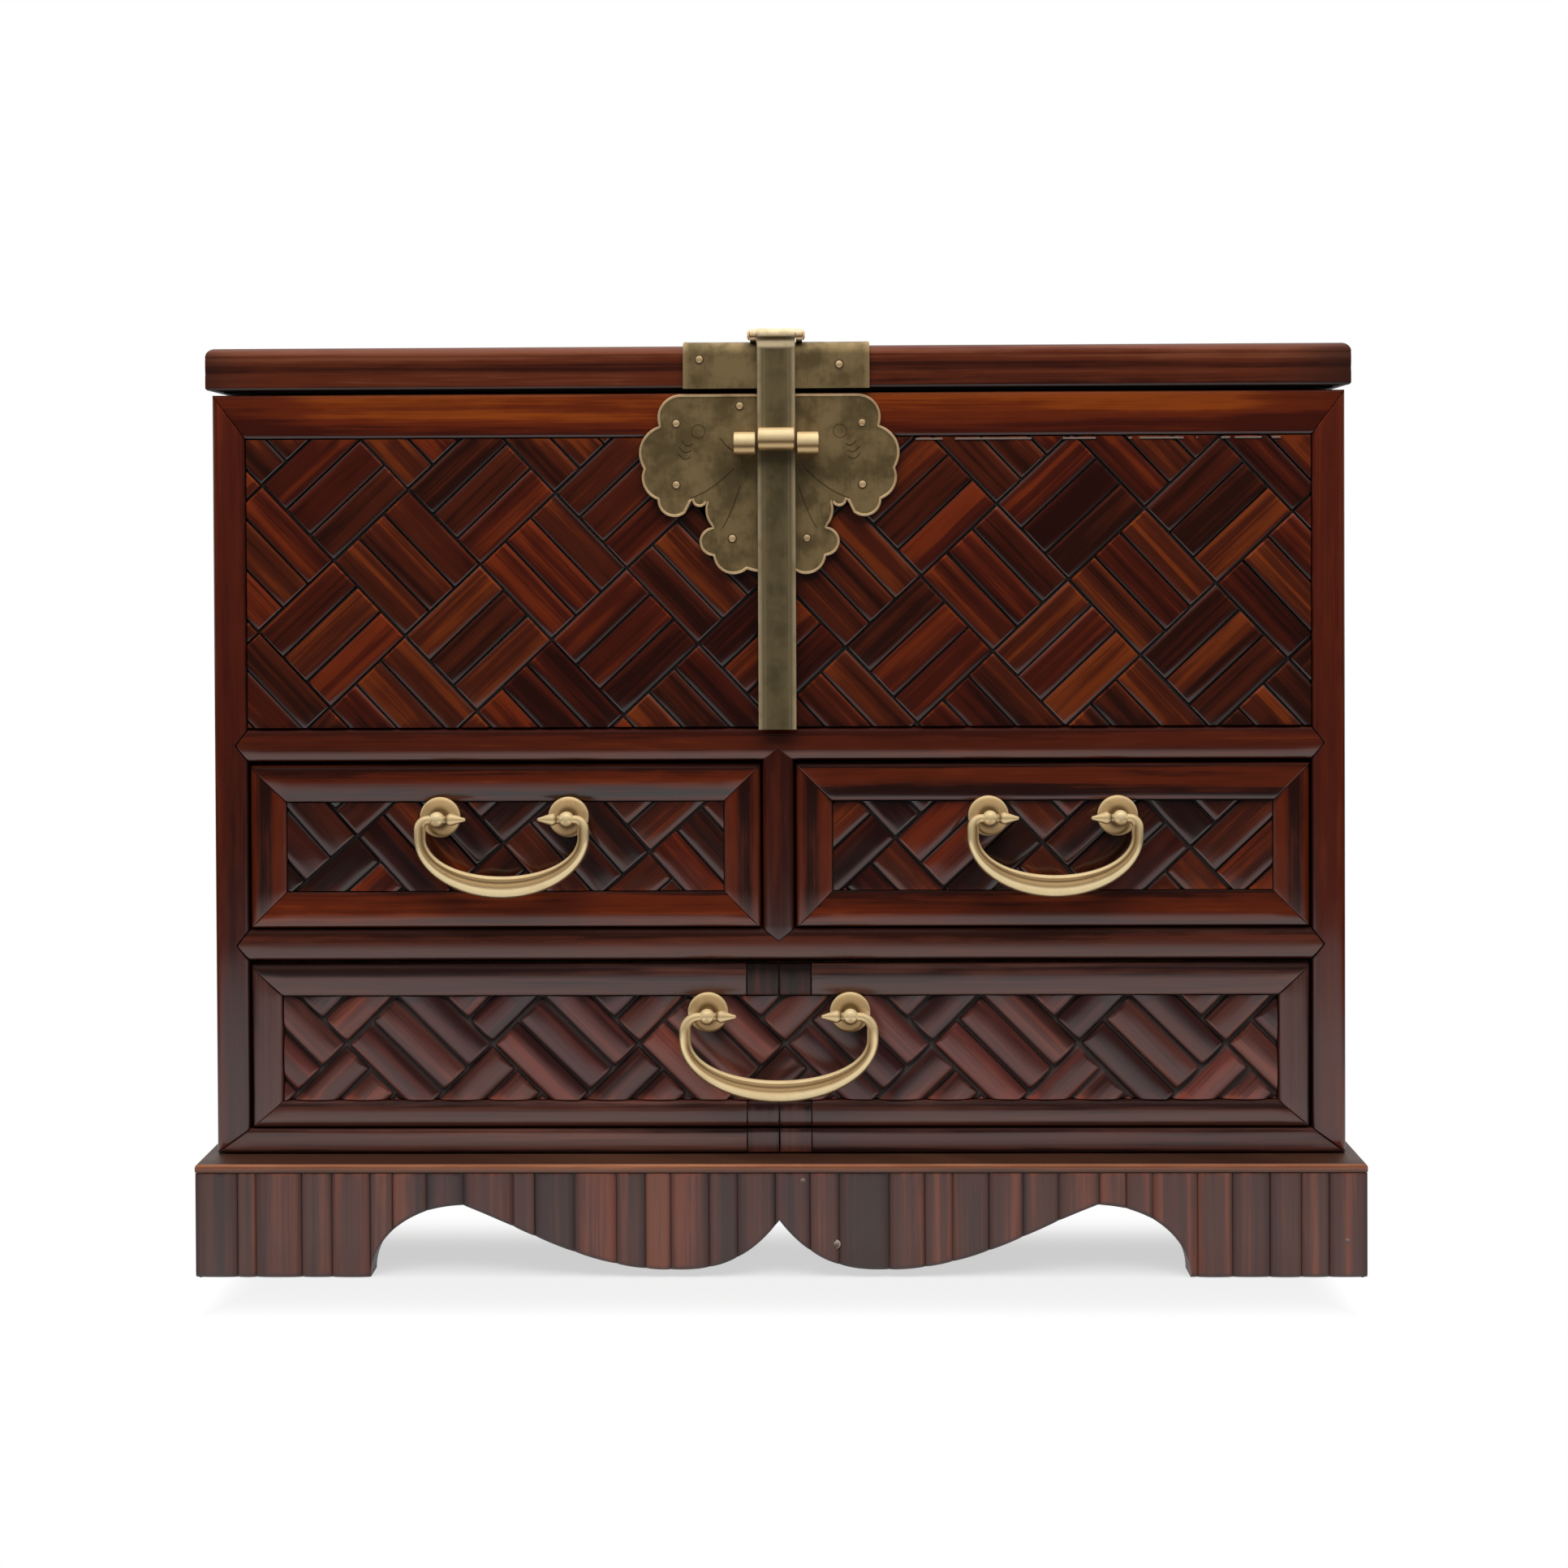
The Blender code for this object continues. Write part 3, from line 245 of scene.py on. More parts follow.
def makeStripGrain(s):
    # streaks that run with the strip: slow bands across it, fine fibres and short flecks;
    # tone moves the pattern from strip to strip, rim darkens towards the grooves, up paints light and shade on the
    # slopes
    tree, get, put = makeGroup(
        "stripGrainAndLight",
        {"Vector": "Place", "Float": "Tone Rim Up Bands Spread Contrast Reds Dust", "Color": "Dark Middle Bright"},
        {"Color": "Color", "Float": "Roughness Relief Gloss"})
    at, tone = axesOf(tree, get["Place"]), get["Tone"]
    shift = times(tree, tone, s["shift"])
    band = noiseAt(tree, *stretch(tree, at, (s["bandLong"], get["Bands"])), shift, 2.5, 0.6)
    fibre = noiseAt(tree, *stretch(tree, at, s["fibre"]), shift)
    fleck = noiseAt(tree, *stretch(tree, at, s["fleck"]), shift)
    # painted light and shade: the up term shifts the tone by how each slope faces
    level = total(tree, swing(tree, band, get["Contrast"]), swing(tree, tone, get["Spread"]),
                  swing(tree, fibre, s["fibreShare"]), swing(tree, fleck, s["fleckShare"]),
                  times(tree, get["Up"], s["paintedLightShare"]))
    level = calc(tree, "ADD", level, s["base"], clamp=True)
    tint = mixColour(tree, ramp(tree, level, 0.05, 0.50), get["Dark"], get["Middle"])
    tint = mixColour(tree, ramp(tree, level, 0.50, 0.95), tint, get["Bright"])
    # some strips lean to dark red
    lean = ramp(tree, calc(tree, "FRACT", times(tree, tone, 7.3)), 0.35, 0.70)
    redder = mixColour(tree, 1.0, tint, s["redder"], "MULTIPLY")
    tint = mixColour(tree, times(tree, lean, get["Reds"]), tint, redder)
    # the grooves are near black, but beside some strips they are pale grey: dust, together with a painted highlight
    # along the strips' edges
    groove = times(tree, calc(tree, "POWER", get["Rim"], s["groovePower"]), s["grooveShare"])
    dustAndSheenMask = ramp(tree, calc(tree, "FRACT", times(tree, tone, 3.7)), 0.45, 0.75)
    fill = mixColour(tree, times(tree, dustAndSheenMask, get["Dust"]), s["groove"], s["dust"])
    tree.links.new(mixColour(tree, groove, tint, fill), put["Color"])
    rough = total(tree, times(tree, fleck, s["fleckRough"]), times(tree, get["Rim"], s["rimRough"]))
    tree.links.new(rough, put["Roughness"])
    tree.links.new(total(tree, times(tree, fibre, s["fibreRelief"]), band), put["Relief"])
    tree.links.new(calc(tree, "SUBTRACT", 1.0, get["Rim"], clamp=True), put["Gloss"])
    return tree


brassWearSet = {"cloud": (110.0,) * 3, "scratch": (2600.0, 900.0, 160.0), "pit": (1400.0,) * 3, "scratchShare": 0.14,
                "tarnish": (0.34, 0.68), "wornAndLit": (0.25, 0.55, 0.55, 1.0), "rough": (0.16, 0.05, -0.06), "relief": 0.5}


def makeBrassWear(s):
    # cloudy tarnish, rubbed patches with painted highlights, and hair scratches over brass
    tree, get, put = makeGroup(
        "brassWearAndLight",
        {"Vector": "Place", "Float": "Rub Hollow Amount", "Color": "Clean Tarnish Rubbed Deep"},
        {"Color": "Color", "Float": "Roughness Relief"})
    at = axesOf(tree, get["Place"])
    cloud = noiseAt(tree, *stretch(tree, at, s["cloud"]), 4.0, 0.6)
    scratch = noiseAt(tree, *stretch(tree, at, s["scratch"]))
    pit = noiseAt(tree, *stretch(tree, at, s["pit"]), 1.0)
    level = total(tree, cloud, swing(tree, scratch, s["scratchShare"]), swing(tree, get["Amount"], 1.0))
    level = ramp(tree, level, *s["tarnish"])
    tint = mixColour(tree, level, get["Clean"], get["Tarnish"])
    wornAndLit = times(tree, get["Rub"], ramp(tree, cloud, *s["wornAndLit"]))
    tint = mixColour(tree, wornAndLit, tint, get["Rubbed"])
    # tone above a half darkens towards the deep colour: dirt in the hollows, and painted shade
    dirtAndShade = calc(tree, "MULTIPLY", calc(tree, "SUBTRACT", get["Hollow"], 0.5), 2.0, clamp=True)
    tree.links.new(mixColour(tree, dirtAndShade, tint, get["Deep"]), put["Color"])
    rough = total(tree, *[times(tree, value, share) for value, share in zip((level, pit, wornAndLit), s["rough"])])
    tree.links.new(rough, put["Roughness"])
    tree.links.new(times(tree, total(tree, scratch, pit), s["relief"]), put["Relief"])
    return tree


boardGrainSet = {"ring": (1.6, 90.0, 90.0), "pore": (45.0, 1500.0, 1500.0), "poreShare": 0.45, "level": (0.28, 0.72),
                 "poreRough": 0.22}


def makeBoardGrain(s):
    # plain board: long rings stretched along the first axis, with fine pores
    tree, get, put = makeGroup(
        "boardGrain", {"Vector": "Place", "Color": "Dark Light"}, {"Color": "Color", "Float": "Roughness Relief"})
    at = axesOf(tree, get["Place"])
    ring = noiseAt(tree, *stretch(tree, at, s["ring"]), 4.0, 0.62)
    pore = noiseAt(tree, *stretch(tree, at, s["pore"]))
    level = ramp(tree, total(tree, ring, swing(tree, pore, s["poreShare"])), *s["level"])
    tree.links.new(mixColour(tree, level, get["Dark"], get["Light"]), put["Color"])
    tree.links.new(times(tree, pore, s["poreRough"]), put["Roughness"])
    tree.links.new(pore, put["Relief"])
    return tree


groups = {"strip": makeStripGrain(stripGrainSet), "brass": makeBrassWear(brassWearSet),
          "board": makeBoardGrain(boardGrainSet)}
# which attribute of the mesh feeds which socket
attributesOf = {"strip": {"tone": "Tone", "rim": "Rim", "up": "Up"}, "brass": {"rim": "Rub", "tone": "Hollow"},
                "board": {}}


def finishMaterial(name, groupName, inputs, rough, bump, **fixed):
    # a Principled shader fed by one of the groups; fixed values go straight on its sockets
    made = bpy.data.materials.new(name)
    made.use_nodes = True
    tree = made.node_tree
    shader = tree.nodes["Principled BSDF"]
    group = tree.nodes.new("ShaderNodeGroup")
    group.node_tree = groups[groupName]
    for key, socket in attributesOf[groupName].items():
        value = addNode(tree, "ShaderNodeAttribute", attribute_name=key).outputs["Fac"]
        tree.links.new(value, group.inputs[socket])
    if groupName == "strip":
        place = addNode(tree, "ShaderNodeUVMap", uv_map="grain").outputs[0]
    else:
        place = addNode(tree, "ShaderNodeTexCoord").outputs["Object"]
    if "turn" in fixed:
        place = addNode(tree, "ShaderNodeMapping", [("Vector", place), ("Rotation", fixed.pop("turn"))]).outputs[0]
    tree.links.new(place, group.inputs["Place"])
    for socket, value in inputs.items():
        group.inputs[socket].default_value = colour(*value) if isinstance(value, tuple) else value
    tree.links.new(group.outputs["Color"], shader.inputs["Base Color"])
    tree.links.new(total(tree, group.outputs["Roughness"], rough), shader.inputs["Roughness"])
    if "coat" in fixed:
        tree.links.new(times(tree, group.outputs["Gloss"], fixed.pop("coat")), shader.inputs["Coat Weight"])
    rows = [("Strength", bump[0]), ("Distance", bump[1]), ("Height", group.outputs["Relief"])]
    tree.links.new(addNode(tree, "ShaderNodeBump", rows).outputs[0], shader.inputs["Normal"])
    for socket, value in fixed.items():
        shader.inputs[socket.replace("_", " ")].default_value = value
    return made


def lacquer(name, dark, middle, bright, bands=170.0, spread=0.35, contrast=1.8, rough=0.15, coat=0.55, haze=0.09,
            reds=0.25, dust=0.0):
    inputs = {"Dark": dark, "Middle": middle, "Bright": bright, "Bands": bands, "Spread": spread,
              "Contrast": contrast, "Reds": reds, "Dust": dust}
    return finishMaterial(name, "strip", inputs, rough, (0.12, 0.0003), coat=coat, Coat_Roughness=haze,
                          Specular_IOR_Level=0.5)


def brass(name, clean, tarnish, rubbed, amount, rough, bump=0.10, metal=0.5, deep=(64, 48, 26)):
    inputs = {"Clean": clean, "Tarnish": tarnish, "Rubbed": rubbed, "Deep": deep, "Amount": amount}
    return finishMaterial(name, "brass", inputs, rough, (bump, 0.0001), Metallic=metal)


def board(name, dark, light, rough, **turn):
    return finishMaterial(name, "board", {"Dark": dark, "Light": light}, rough, (0.25, 0.0002), **turn)


finishes = {
    "panel": lacquer("panelLacquer", (39, 12, 5), (69, 24, 9), (112, 46, 11), spread=0.54, bands=210.0,
                     contrast=1.85, reds=0.65, dust=0.9),
    "drawerWeave": lacquer("drawerWeaveLacquer", (34, 13, 9), (66, 25, 13), (112, 45, 15), spread=0.6, contrast=1.6,
                           haze=0.07, reds=0.6, dust=1.5),
    # the long drawer's weave and frame and the lower rail are greyer copies of the lacquer: painted reflection of the
    # pale floor on the low parts
    "longWeave": lacquer("longWeaveLacquer", (46, 19, 15), (84, 42, 34), (128, 66, 51), spread=0.5, contrast=1.6,
                         rough=0.30, haze=0.28, reds=0.4, dust=0.8),
    "longFrame": lacquer("longFrameLacquer", (38, 19, 16), (84, 47, 38), (116, 67, 53), contrast=1.5, rough=0.24,
                         haze=0.20),
    "lowerRail": lacquer("lowerRailLacquer", (42, 16, 9), (82, 37, 24), (112, 55, 34), contrast=1.4, rough=0.20,
                         haze=0.15),
    "topRail": lacquer("topRailLacquer", (62, 17, 7), (96, 33, 8), (136, 60, 11), contrast=1.3),
    "rail": lacquer("railLacquer", (50, 15, 7), (80, 28, 11), (116, 48, 14), contrast=1.3, haze=0.12),
    "stile": lacquer("stileLacquer", (54, 18, 9), (82, 29, 14), (108, 44, 16), contrast=1.4),
    "drawerFrame": lacquer("drawerFrameLacquer", (36, 11, 6), (90, 31, 9), (134, 54, 11), contrast=1.4, haze=0.14),
    "joinBlock": lacquer("joinBlockLacquer", (18, 9, 8), (40, 20, 16), (78, 38, 30), contrast=2.4, rough=0.45,
                         coat=0.05),
    "lidEdge": lacquer("lidEdgeLacquer", (52, 19, 10), (86, 36, 18), (112, 60, 38), contrast=1.5, bands=220.0),
    "plinth": lacquer("plinthLacquer", (51, 25, 20), (80, 42, 32), (122, 66, 45), contrast=2.0, bands=230.0,
                      spread=0.65, rough=0.30, coat=0.45),
    "ledge": lacquer("ledgeLacquer", (86, 51, 36), (127, 77, 54), (158, 102, 72), contrast=1.4, rough=0.08, coat=0.1),
    "wax": lacquer("waxLine", (112, 98, 86), (150, 138, 126), (196, 186, 176), rough=0.4, coat=0.0),
    "caseWood": board("caseWood", (58, 32, 20), (104, 62, 38), 0.42),
    "drawerWood": board("drawerWood", (112, 74, 44), (164, 118, 76), 0.48, turn=(0, 0, pi / 2)),
    "backWood": board("backWood", (40, 19, 12), (78, 38, 22), 0.32, turn=(0, pi / 2, 0)),
    "plate": brass("plateBrass", (150, 127, 87), (104, 87, 56), (204, 172, 128), 0.50, 0.34),
    "strap": brass("strapBrass", (120, 104, 72), (90, 79, 53), (250, 224, 180), 0.50, 0.36, 0.06, deep=(70, 52, 28)),
    "engraved": brass("engravedBrass", (98, 82, 52), (70, 58, 36), (110, 92, 60), 0.55, 0.42),
    "rim": brass("rubbedBrass", (222, 188, 142), (178, 148, 108), (250, 224, 180), 0.40, 0.28, 0.04),
    "pull": brass("pullBrass", (222, 184, 130), (190, 154, 104), (255, 230, 178), 0.36, 0.22, 0.008,
                  deep=(108, 80, 42)),
}
print("finishes ready", len(finishes))


def makePart(points, quads, loops=(), uv=None, tone=0.5, rim=0.0, up=0.0, paint=0):
    # points and faces with their looks, one row for each point; paint is the number of the finish
    n = len(points)
    spread = lambda v: np.broadcast_to(np.asarray(v, float).reshape(-1), (n,))
    flatUv = np.zeros((n, 2)) if uv is None else np.asarray(uv, float).reshape(n, 2)
    return {"points": points, "quads": quads, "loops": [list(map(int, x)) for x in loops],
            "uv": flatUv, "tone": spread(tone), "rim": spread(rim), "up": spread(up), "paint": paint}


def gridQuads(rows, cols, wrapRows=False, wrapCols=False):
    # corner numbers of the quads over a grid of points numbered row by row
    i = np.arange(rows if wrapRows else rows - 1)[:, None]
    j = np.arange(cols if wrapCols else cols - 1)[None, :]
    here, there, step = i * cols, (i + 1) % rows * cols, (j + 1) % cols
    return np.stack([here + j, there + j, there + step, here + step], -1).reshape(-1, 4)


def skin(points, wrapRows=False, wrapCols=False, caps=False, **look):
    # quads over a grid of points (rows, cols, 3); caps closes the first and last row
    rows, cols = points.shape[:2]
    loops = [np.arange(cols), np.arange(cols) + (rows - 1) * cols] if caps else []
    return makePart(points.reshape(-1, 3), gridQuads(rows, cols, wrapRows, wrapCols), loops, **look)


def grow(grids):
    # one more row and column all round each grid (count, rows, cols), with the values of the old edge
    return np.pad(grids, ((0, 0), (1, 1), (1, 1)), mode="edge")


def crowned(along, across, height, floor, tone, rim, toPoint, up=None, paint=0):
    # strips given as grids (count, rows, cols): each grid gets a skirt straight down to floor and a flat back
    s, w, h, r = grow(along), grow(across), grow(height), grow(rim)
    h[:, [0, -1], :] = floor
    h[:, :, [0, -1]] = floor
    count, rows, cols = s.shape
    n = rows * cols
    number = np.arange(n).reshape(rows, cols)
    ring = np.concatenate([number[0, :-1], number[:-1, -1], number[-1, :0:-1], number[:0:-1, 0]])
    start = np.arange(count)[:, None, None] * n
    quads = (gridQuads(rows, cols)[None] + start).reshape(-1, 4)
    points = np.stack(toPoint(s, w, h), -1).reshape(-1, 3)
    tones = np.broadcast_to(np.asarray(tone, float).reshape(-1, 1), (count, n))
    return makePart(points, quads, ring[None] + start[:, 0], uv=np.stack([s, w], -1), tone=tones, rim=r,
                    up=0.0 if up is None else grow(up), paint=paint)


def revolve(axis, centre, profile, sides=40, **look):
    # profile rows (place along axis, radius) turned about that axis; the ends close on themselves
    a = np.linspace(0, 2 * pi, sides, endpoint=False)
    at, r = np.asarray(profile, float).T[:, :, None]
    rows = [r * np.cos(a), r * np.sin(a)]
    rows.insert("xyz".index(axis), np.broadcast_to(at, rows[0].shape))
    return skin(np.stack(rows, -1) + np.asarray(centre, float), wrapCols=True, caps=True, **look)


def tube(centre, halfLength, outer, bore, rounding=0.0004, sides=64, **look):
    # open tube along x: a rounded rectangle of (x, radius) turned about the axis; painted highlights above and in a
    # thin band low down, a dark band below the middle, its seam with painted shade, and painted shade along the
    # underside
    a = np.linspace(0, pi / 2, 5)
    bend = lambda cx, cr, t: np.stack([cx + rounding * np.cos(t), cr + rounding * np.sin(t)], -1)
    e, o, b = halfLength - rounding, outer - rounding, bore + rounding
    loop = np.vstack([bend(e, o, a), bend(-e, o, a + pi / 2), bend(-e, b, a + pi), bend(e, b, a + 1.5 * pi)])
    turn = np.linspace(0, 2 * pi, sides, endpoint=False)[:, None]
    x, r = loop[None, :, 0], loop[None, :, 1]
    points = np.stack([x + 0 * turn, r * np.cos(turn), r * np.sin(turn)], -1) + np.asarray(centre, float)
    rise = np.sin(turn) + 0 * x
    paintedHighlight = np.exp(-((rise - 0.40) / 0.45) ** 2) + 0.25 * np.exp(-((rise + 0.70) / 0.18) ** 2)
    seamAndShade = 0.95 * np.exp(-((rise + 0.30) / 0.14) ** 2) + 0.6 * np.clip((-0.82 - rise) / 0.12, 0, 1)
    return skin(points, wrapRows=True, wrapCols=True, rim=paintedHighlight, tone=0.5 + 0.5 * np.minimum(seamAndShade, 1), **look)


def block(low, high, **look):
    # a box: its rectangle in x and y at both heights
    x, y, z = zip(low, high)
    ring = np.array([(x[0], y[0]), (x[1], y[0]), (x[1], y[1]), (x[0], y[1])])
    points = np.stack([np.column_stack([ring, np.full(4, k)]) for k in z])
    return skin(points, wrapCols=True, caps=True, **look)


rivetSet = {"sides": 24, "sunk": 0.0003, "proud": 0.00005, "ring": 1.5, "ringInner": 1.05, "high": 0.45,
            "pole": 0.00003}


def rivet(x, z, face, r, s=rivetSet, **look):
    # a quarter circle turned to a low dome in a dark ring, its foot sunk in the sheet
    a = np.linspace(0, pi / 2, 7)
    front = face - s["proud"]
    ring = [(face + s["sunk"], s["ring"] * r), (front, s["ring"] * r), (front, s["ringInner"] * r)]
    dome = np.stack([front - s["high"] * r * np.sin(a), np.maximum(r * np.cos(a), s["pole"])], -1)
    dirtAndShade = np.repeat([0.8, 0.8, 1.0, 0.9] + [0.5] * 6, s["sides"])
    return revolve("y", (x, 0, z), np.vstack([ring, dome]), sides=s["sides"], tone=dirtAndShade, **look)


weldDistance = 1e-6


def makePiece(name, parts, paints, body, replaced, crease=38.0, field=None, toPoint=None, glow=2.6):
    # joins parts into one mesh, cuts it to the field, welds it, turns its faces outwards, puts it on its body;
    # up gains glow * rise * (1 - rise^2) of the normal: painted light on the upper slopes, and where glow is negative
    # painted shade on them and painted light below
    joined = lambda key: np.concatenate([p[key] for p in parts])
    starts = np.cumsum([0] + [len(p["points"]) for p in parts])
    faces = []
    for p, first in zip(parts, starts):
        faces += (p["quads"] + first).tolist() + [[v + int(first) for v in loop] for loop in p["loops"]]
    paintOf = np.concatenate([np.full(len(p["quads"]) + len(p["loops"]), p["paint"]) for p in parts])
    mesh = bpy.data.meshes.new(name)
    mesh.from_pydata(joined("points").tolist(), [], faces)
    corner = np.empty(len(mesh.loops), int)
    mesh.loops.foreach_get("vertex_index", corner)
    mesh.uv_layers.new(name="grain").data.foreach_set("uv", joined("uv")[corner].astype(np.float32).ravel())
    for key in ("tone", "rim", "up"):
        mesh.attributes.new(key, "FLOAT", "POINT").data.foreach_set("value", joined(key).astype(np.float32))
    for paint in paints:
        mesh.materials.append(finishes[paint])
    mesh.polygons.foreach_set("material_index", paintOf.astype(np.int32))
    bm = bmesh.new()
    bm.from_mesh(mesh)
    bmesh.ops.remove_doubles(bm, verts=bm.verts, dist=weldDistance)
    if field:
        a0, a1, b0, b1 = field
        sides = (((a0, 0, 0), (-1, 0, 0)), ((a1, 0, 0), (1, 0, 0)),
                 ((0, b0, 0), (0, -1, 0)), ((0, b1, 0), (0, 1, 0)))
        for point, normal in sides:
            bmesh.ops.bisect_plane(bm, geom=bm.verts[:] + bm.edges[:] + bm.faces[:], dist=weldDistance,
                                   plane_co=point, plane_no=normal, clear_outer=True)
            bmesh.ops.holes_fill(bm, edges=[e for e in bm.edges if e.is_boundary], sides=0)
    bmesh.ops.dissolve_degenerate(bm, edges=bm.edges, dist=weldDistance / 10)
    if toPoint:
        flat = np.array([v.co for v in bm.verts])
        for v, placed in zip(bm.verts, np.stack(toPoint(*flat.T), -1)):
            v.co = placed
        bm.normal_update()
    bmesh.ops.recalc_face_normals(bm, faces=bm.faces)
    bm.to_mesh(mesh)
    bm.free()
    mesh.shade_smooth()
    mesh.set_sharp_from_angle(angle=radians(crease))
    # painted light: each point's up value grows with how far its face leans upward
    normal = np.empty(3 * len(mesh.vertices), np.float32)
    mesh.vertices.foreach_get("normal", normal)
    rise = normal[2::3]
    lift = np.empty(len(mesh.vertices), np.float32)
    mesh.attributes["up"].data.foreach_get("value", lift)
    mesh.attributes["up"].data.foreach_set("value", lift + glow * rise * (1 - rise ** 2))
    piece = addObject(name, mesh)
    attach(piece, body)
    if replaced:
        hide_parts(*replaced)


# half-round strips of the frames
stripSet = {"edge": 0.0014, "power": 2.8, "endRound": 0.0005, "endDrop": 0.00025, "wave": 0.00008, "across": 19,
            "peak": -0.18, "innerEdge": 0.0030, "outerPower": 3.0, "innerPower": 1.5, "station": 0.012,
            "least": 0.0003, "rim": 16, "endRim": 0.4}
endSteps = np.array([0.0, 0.10, 0.32, 0.62, 1.0])
stripSeed = np.random.default_rng(11)


def reed(width, startAt, endAt, crown, toPoint, lowAt=None, highAt=None, stations=None, upright=False, sloped=False,
         tone=None, power=None, lift=None, paint=0, s=stripSet):
    # length from startAt(w) to endAt(w) at each place w across; height edge + (crown - edge) * (1 - |v|^p)^(1/p),
    # rounded off at both ends, with a slow wave along it; lowAt and highAt cut notches in its sides;
    # a sloped strip has its crown near the outer edge and falls from there to the inner one
    v = np.sin(np.linspace(-pi / 2, pi / 2, s["across"]))
    w = (v + 1) / 2 * width
    d = s["endRound"] * endSteps
    first, last = startAt(w) + d[:, None], endAt(w) - d[::-1, None]
    if stations is None:
        near, far = first.max() + s["endRound"], last.min() - s["endRound"]
        stations = np.linspace(near, far, max(4, int((far - near) / s["station"])))
    along = np.vstack([first, np.repeat(stations[:, None], v.size, 1), last])
    low = lowAt(along) if lowAt else np.zeros_like(along)
    high = highAt(along) if highAt else np.full_like(along, width)
    across = low + (v + 1) / 2 * (high - low)
    f = np.clip(2 * across / width - 1, -1, 1)
    reach = np.minimum(along - startAt(across), endAt(across) - along) / s["endRound"]
    q = np.sqrt(1 - (1 - np.clip(reach, 0, 1)) ** 2)
    phase = stripSeed.random(3) * 2 * pi
    wave = s["wave"] * (np.sin(along * 70 + phase[0]) + 0.6 * np.sin(along * 173 + phase[1]))
    power, edge = power or s["power"], s["edge"]
    if sloped:
        f = (f - s["peak"]) / np.where(f < s["peak"], 1 + s["peak"], 1 - s["peak"])
        power = np.where(f < 0, s["outerPower"], s["innerPower"])
        edge = np.where(f < 0, s["edge"], s["innerEdge"])
    height = edge + (crown - edge) * (1 - np.minimum(np.abs(f), 1) ** power) ** (1 / power) - s["endDrop"] * (1 - q)
    height = np.maximum(height + wave * q * (1 - np.abs(f) ** 4) - np.abs(wave).max(), s["least"])
    rim = np.maximum(np.abs(v) ** s["rim"] + 0 * along, s["endRim"] * (1 - q))
    tone = stripSeed.random(1) if tone is None else tone
    # painted light and shade across the strip, as lift gives it
    up = lift(across / width)[None] if lift else None
    part = crowned(along[None], across[None], height[None], 0.0, tone, rim[None], toPoint, up, paint)
    if upright:
        part["uv"] = part["uv"][:, ::-1]
    return part


def level(value):
    # a straight end: the same place all across the strip
    return lambda w: 0 * w + value


joinSet = {"half": 0.01075, "drop": 0.0002, "gap": 0.00022, "toneStep": 0.1}


def joinBlocks(wide, crown, place, tone, sloped=False, paint=0, power=None, s=joinSet):
    # the pair of short upright-grained blocks over the joint in the middle of a long strip
    spans = ((-s["half"] + s["gap"], -s["gap"]), (s["gap"], s["half"] - s["gap"]))
    return [reed(wide, level(a), level(b), crown - s["drop"], place, upright=True, sloped=sloped,
                 tone=tone + s["toneStep"] * k, paint=paint, power=power) for k, (a, b) in enumerate(spans)]


mitreSet = {"gap": 0.00003, "power": 5.0, "plain": {"b": None, "t": None, "l": None, "r": None},
            "bottomBlock": 0.35, "topBlock": 0.3}


def mitredFrame(rect, widths, crown, toPoint, middle=0.0, sloped="", tones=mitreSet["plain"], lifts=mitreSet["plain"],
                power=mitreSet["power"], s=mitreSet):
    # four strips mitred at the corners; widths are left, bottom, right, top; tones and lifts go by the side's
    # first letter; middle leaves room for the join blocks
    a0, a1, b0, b1 = rect
    left, bottom, right, top = widths
    gap = s["gap"]
    parts = []
    for mark, wide, edge, way in (("b", bottom, b0, 1), ("t", top, b1, -1)):
        look = {"sloped": mark in sloped, "tone": tones[mark]}
        place = lambda a, w, h, edge=edge, way=way: toPoint(a, edge + way * w, h)
        start = lambda w, wide=wide: a0 + left * w / wide + gap
        end = lambda w, wide=wide: a1 - right * w / wide - gap
        if middle:
            parts.append(reed(wide, start, level(-middle), crown, place, **look))
            parts.append(reed(wide, level(middle), end, crown, place, **look))
            tone, paint = (s["bottomBlock"], 0) if way > 0 else (s["topBlock"], 1)
            parts += joinBlocks(wide, crown, place, tone, mark in sloped, paint)
        else:
            parts.append(reed(wide, start, end, crown, place, power=power, lift=lifts[mark], **look))
    for mark, wide, edge, way in (("l", left, a0, 1), ("r", right, a1, -1)):
        place = lambda a, w, h, edge=edge, way=way: toPoint(edge + way * w, a, h)
        parts.append(reed(wide, lambda w, wide=wide: b0 + bottom * w / wide + gap,
                          lambda w, wide=wide: b1 - top * w / wide - gap, crown, place, sloped=mark in sloped,
                          tone=tones[mark], lift=lifts[mark]))
    return parts


# places of the front, read from the imported nodes
# darkGlow paints the rails' upper slopes darker and their lower slopes lighter: painted shade and painted light
frameSet = {"gap": 0.00006, "tuck": 0.0003, "notchSteps": 23, "postSteps": 25, "stileSteps": 22, "railSteps": 34,
            "stilePower": 4.5, "topPower": 9.0, "bottomPower": 7.0, "darkGlow": -4.0, "sideStrip": 0.011}
stileLow, stileHigh = edges("left_stile")
rails = {key: edges(key + "_rail") for key in ("top", "middle", "lower", "bottom")}
heights = {key: float(high[2] - low[2]) for key, (low, high) in rails.items()}
stripBack = float(stileHigh[1])
crownDepth = float(stripBack - stileLow[1])
halfBody, stileWidth = float(-stileLow[0]), float(stileHigh[0] - stileLow[0])
halfOpening = halfBody - stileWidth
jointPoint = float(rails["middle"][1][0]) - halfOpening + frameSet["tuck"]
halfPost = float(edges("drawer_post")[1][0])


def notch(at, half, deep):
    # how far a pointed joint cuts in, at places along the strip
    return lambda a: deep * np.clip(1 - np.abs(a - at) / half, 0, None)


def overFront(low):
    # a level strip on the front, its lower edge at low
    return lambda a, w, h: (a, stripBack - h, low + w)


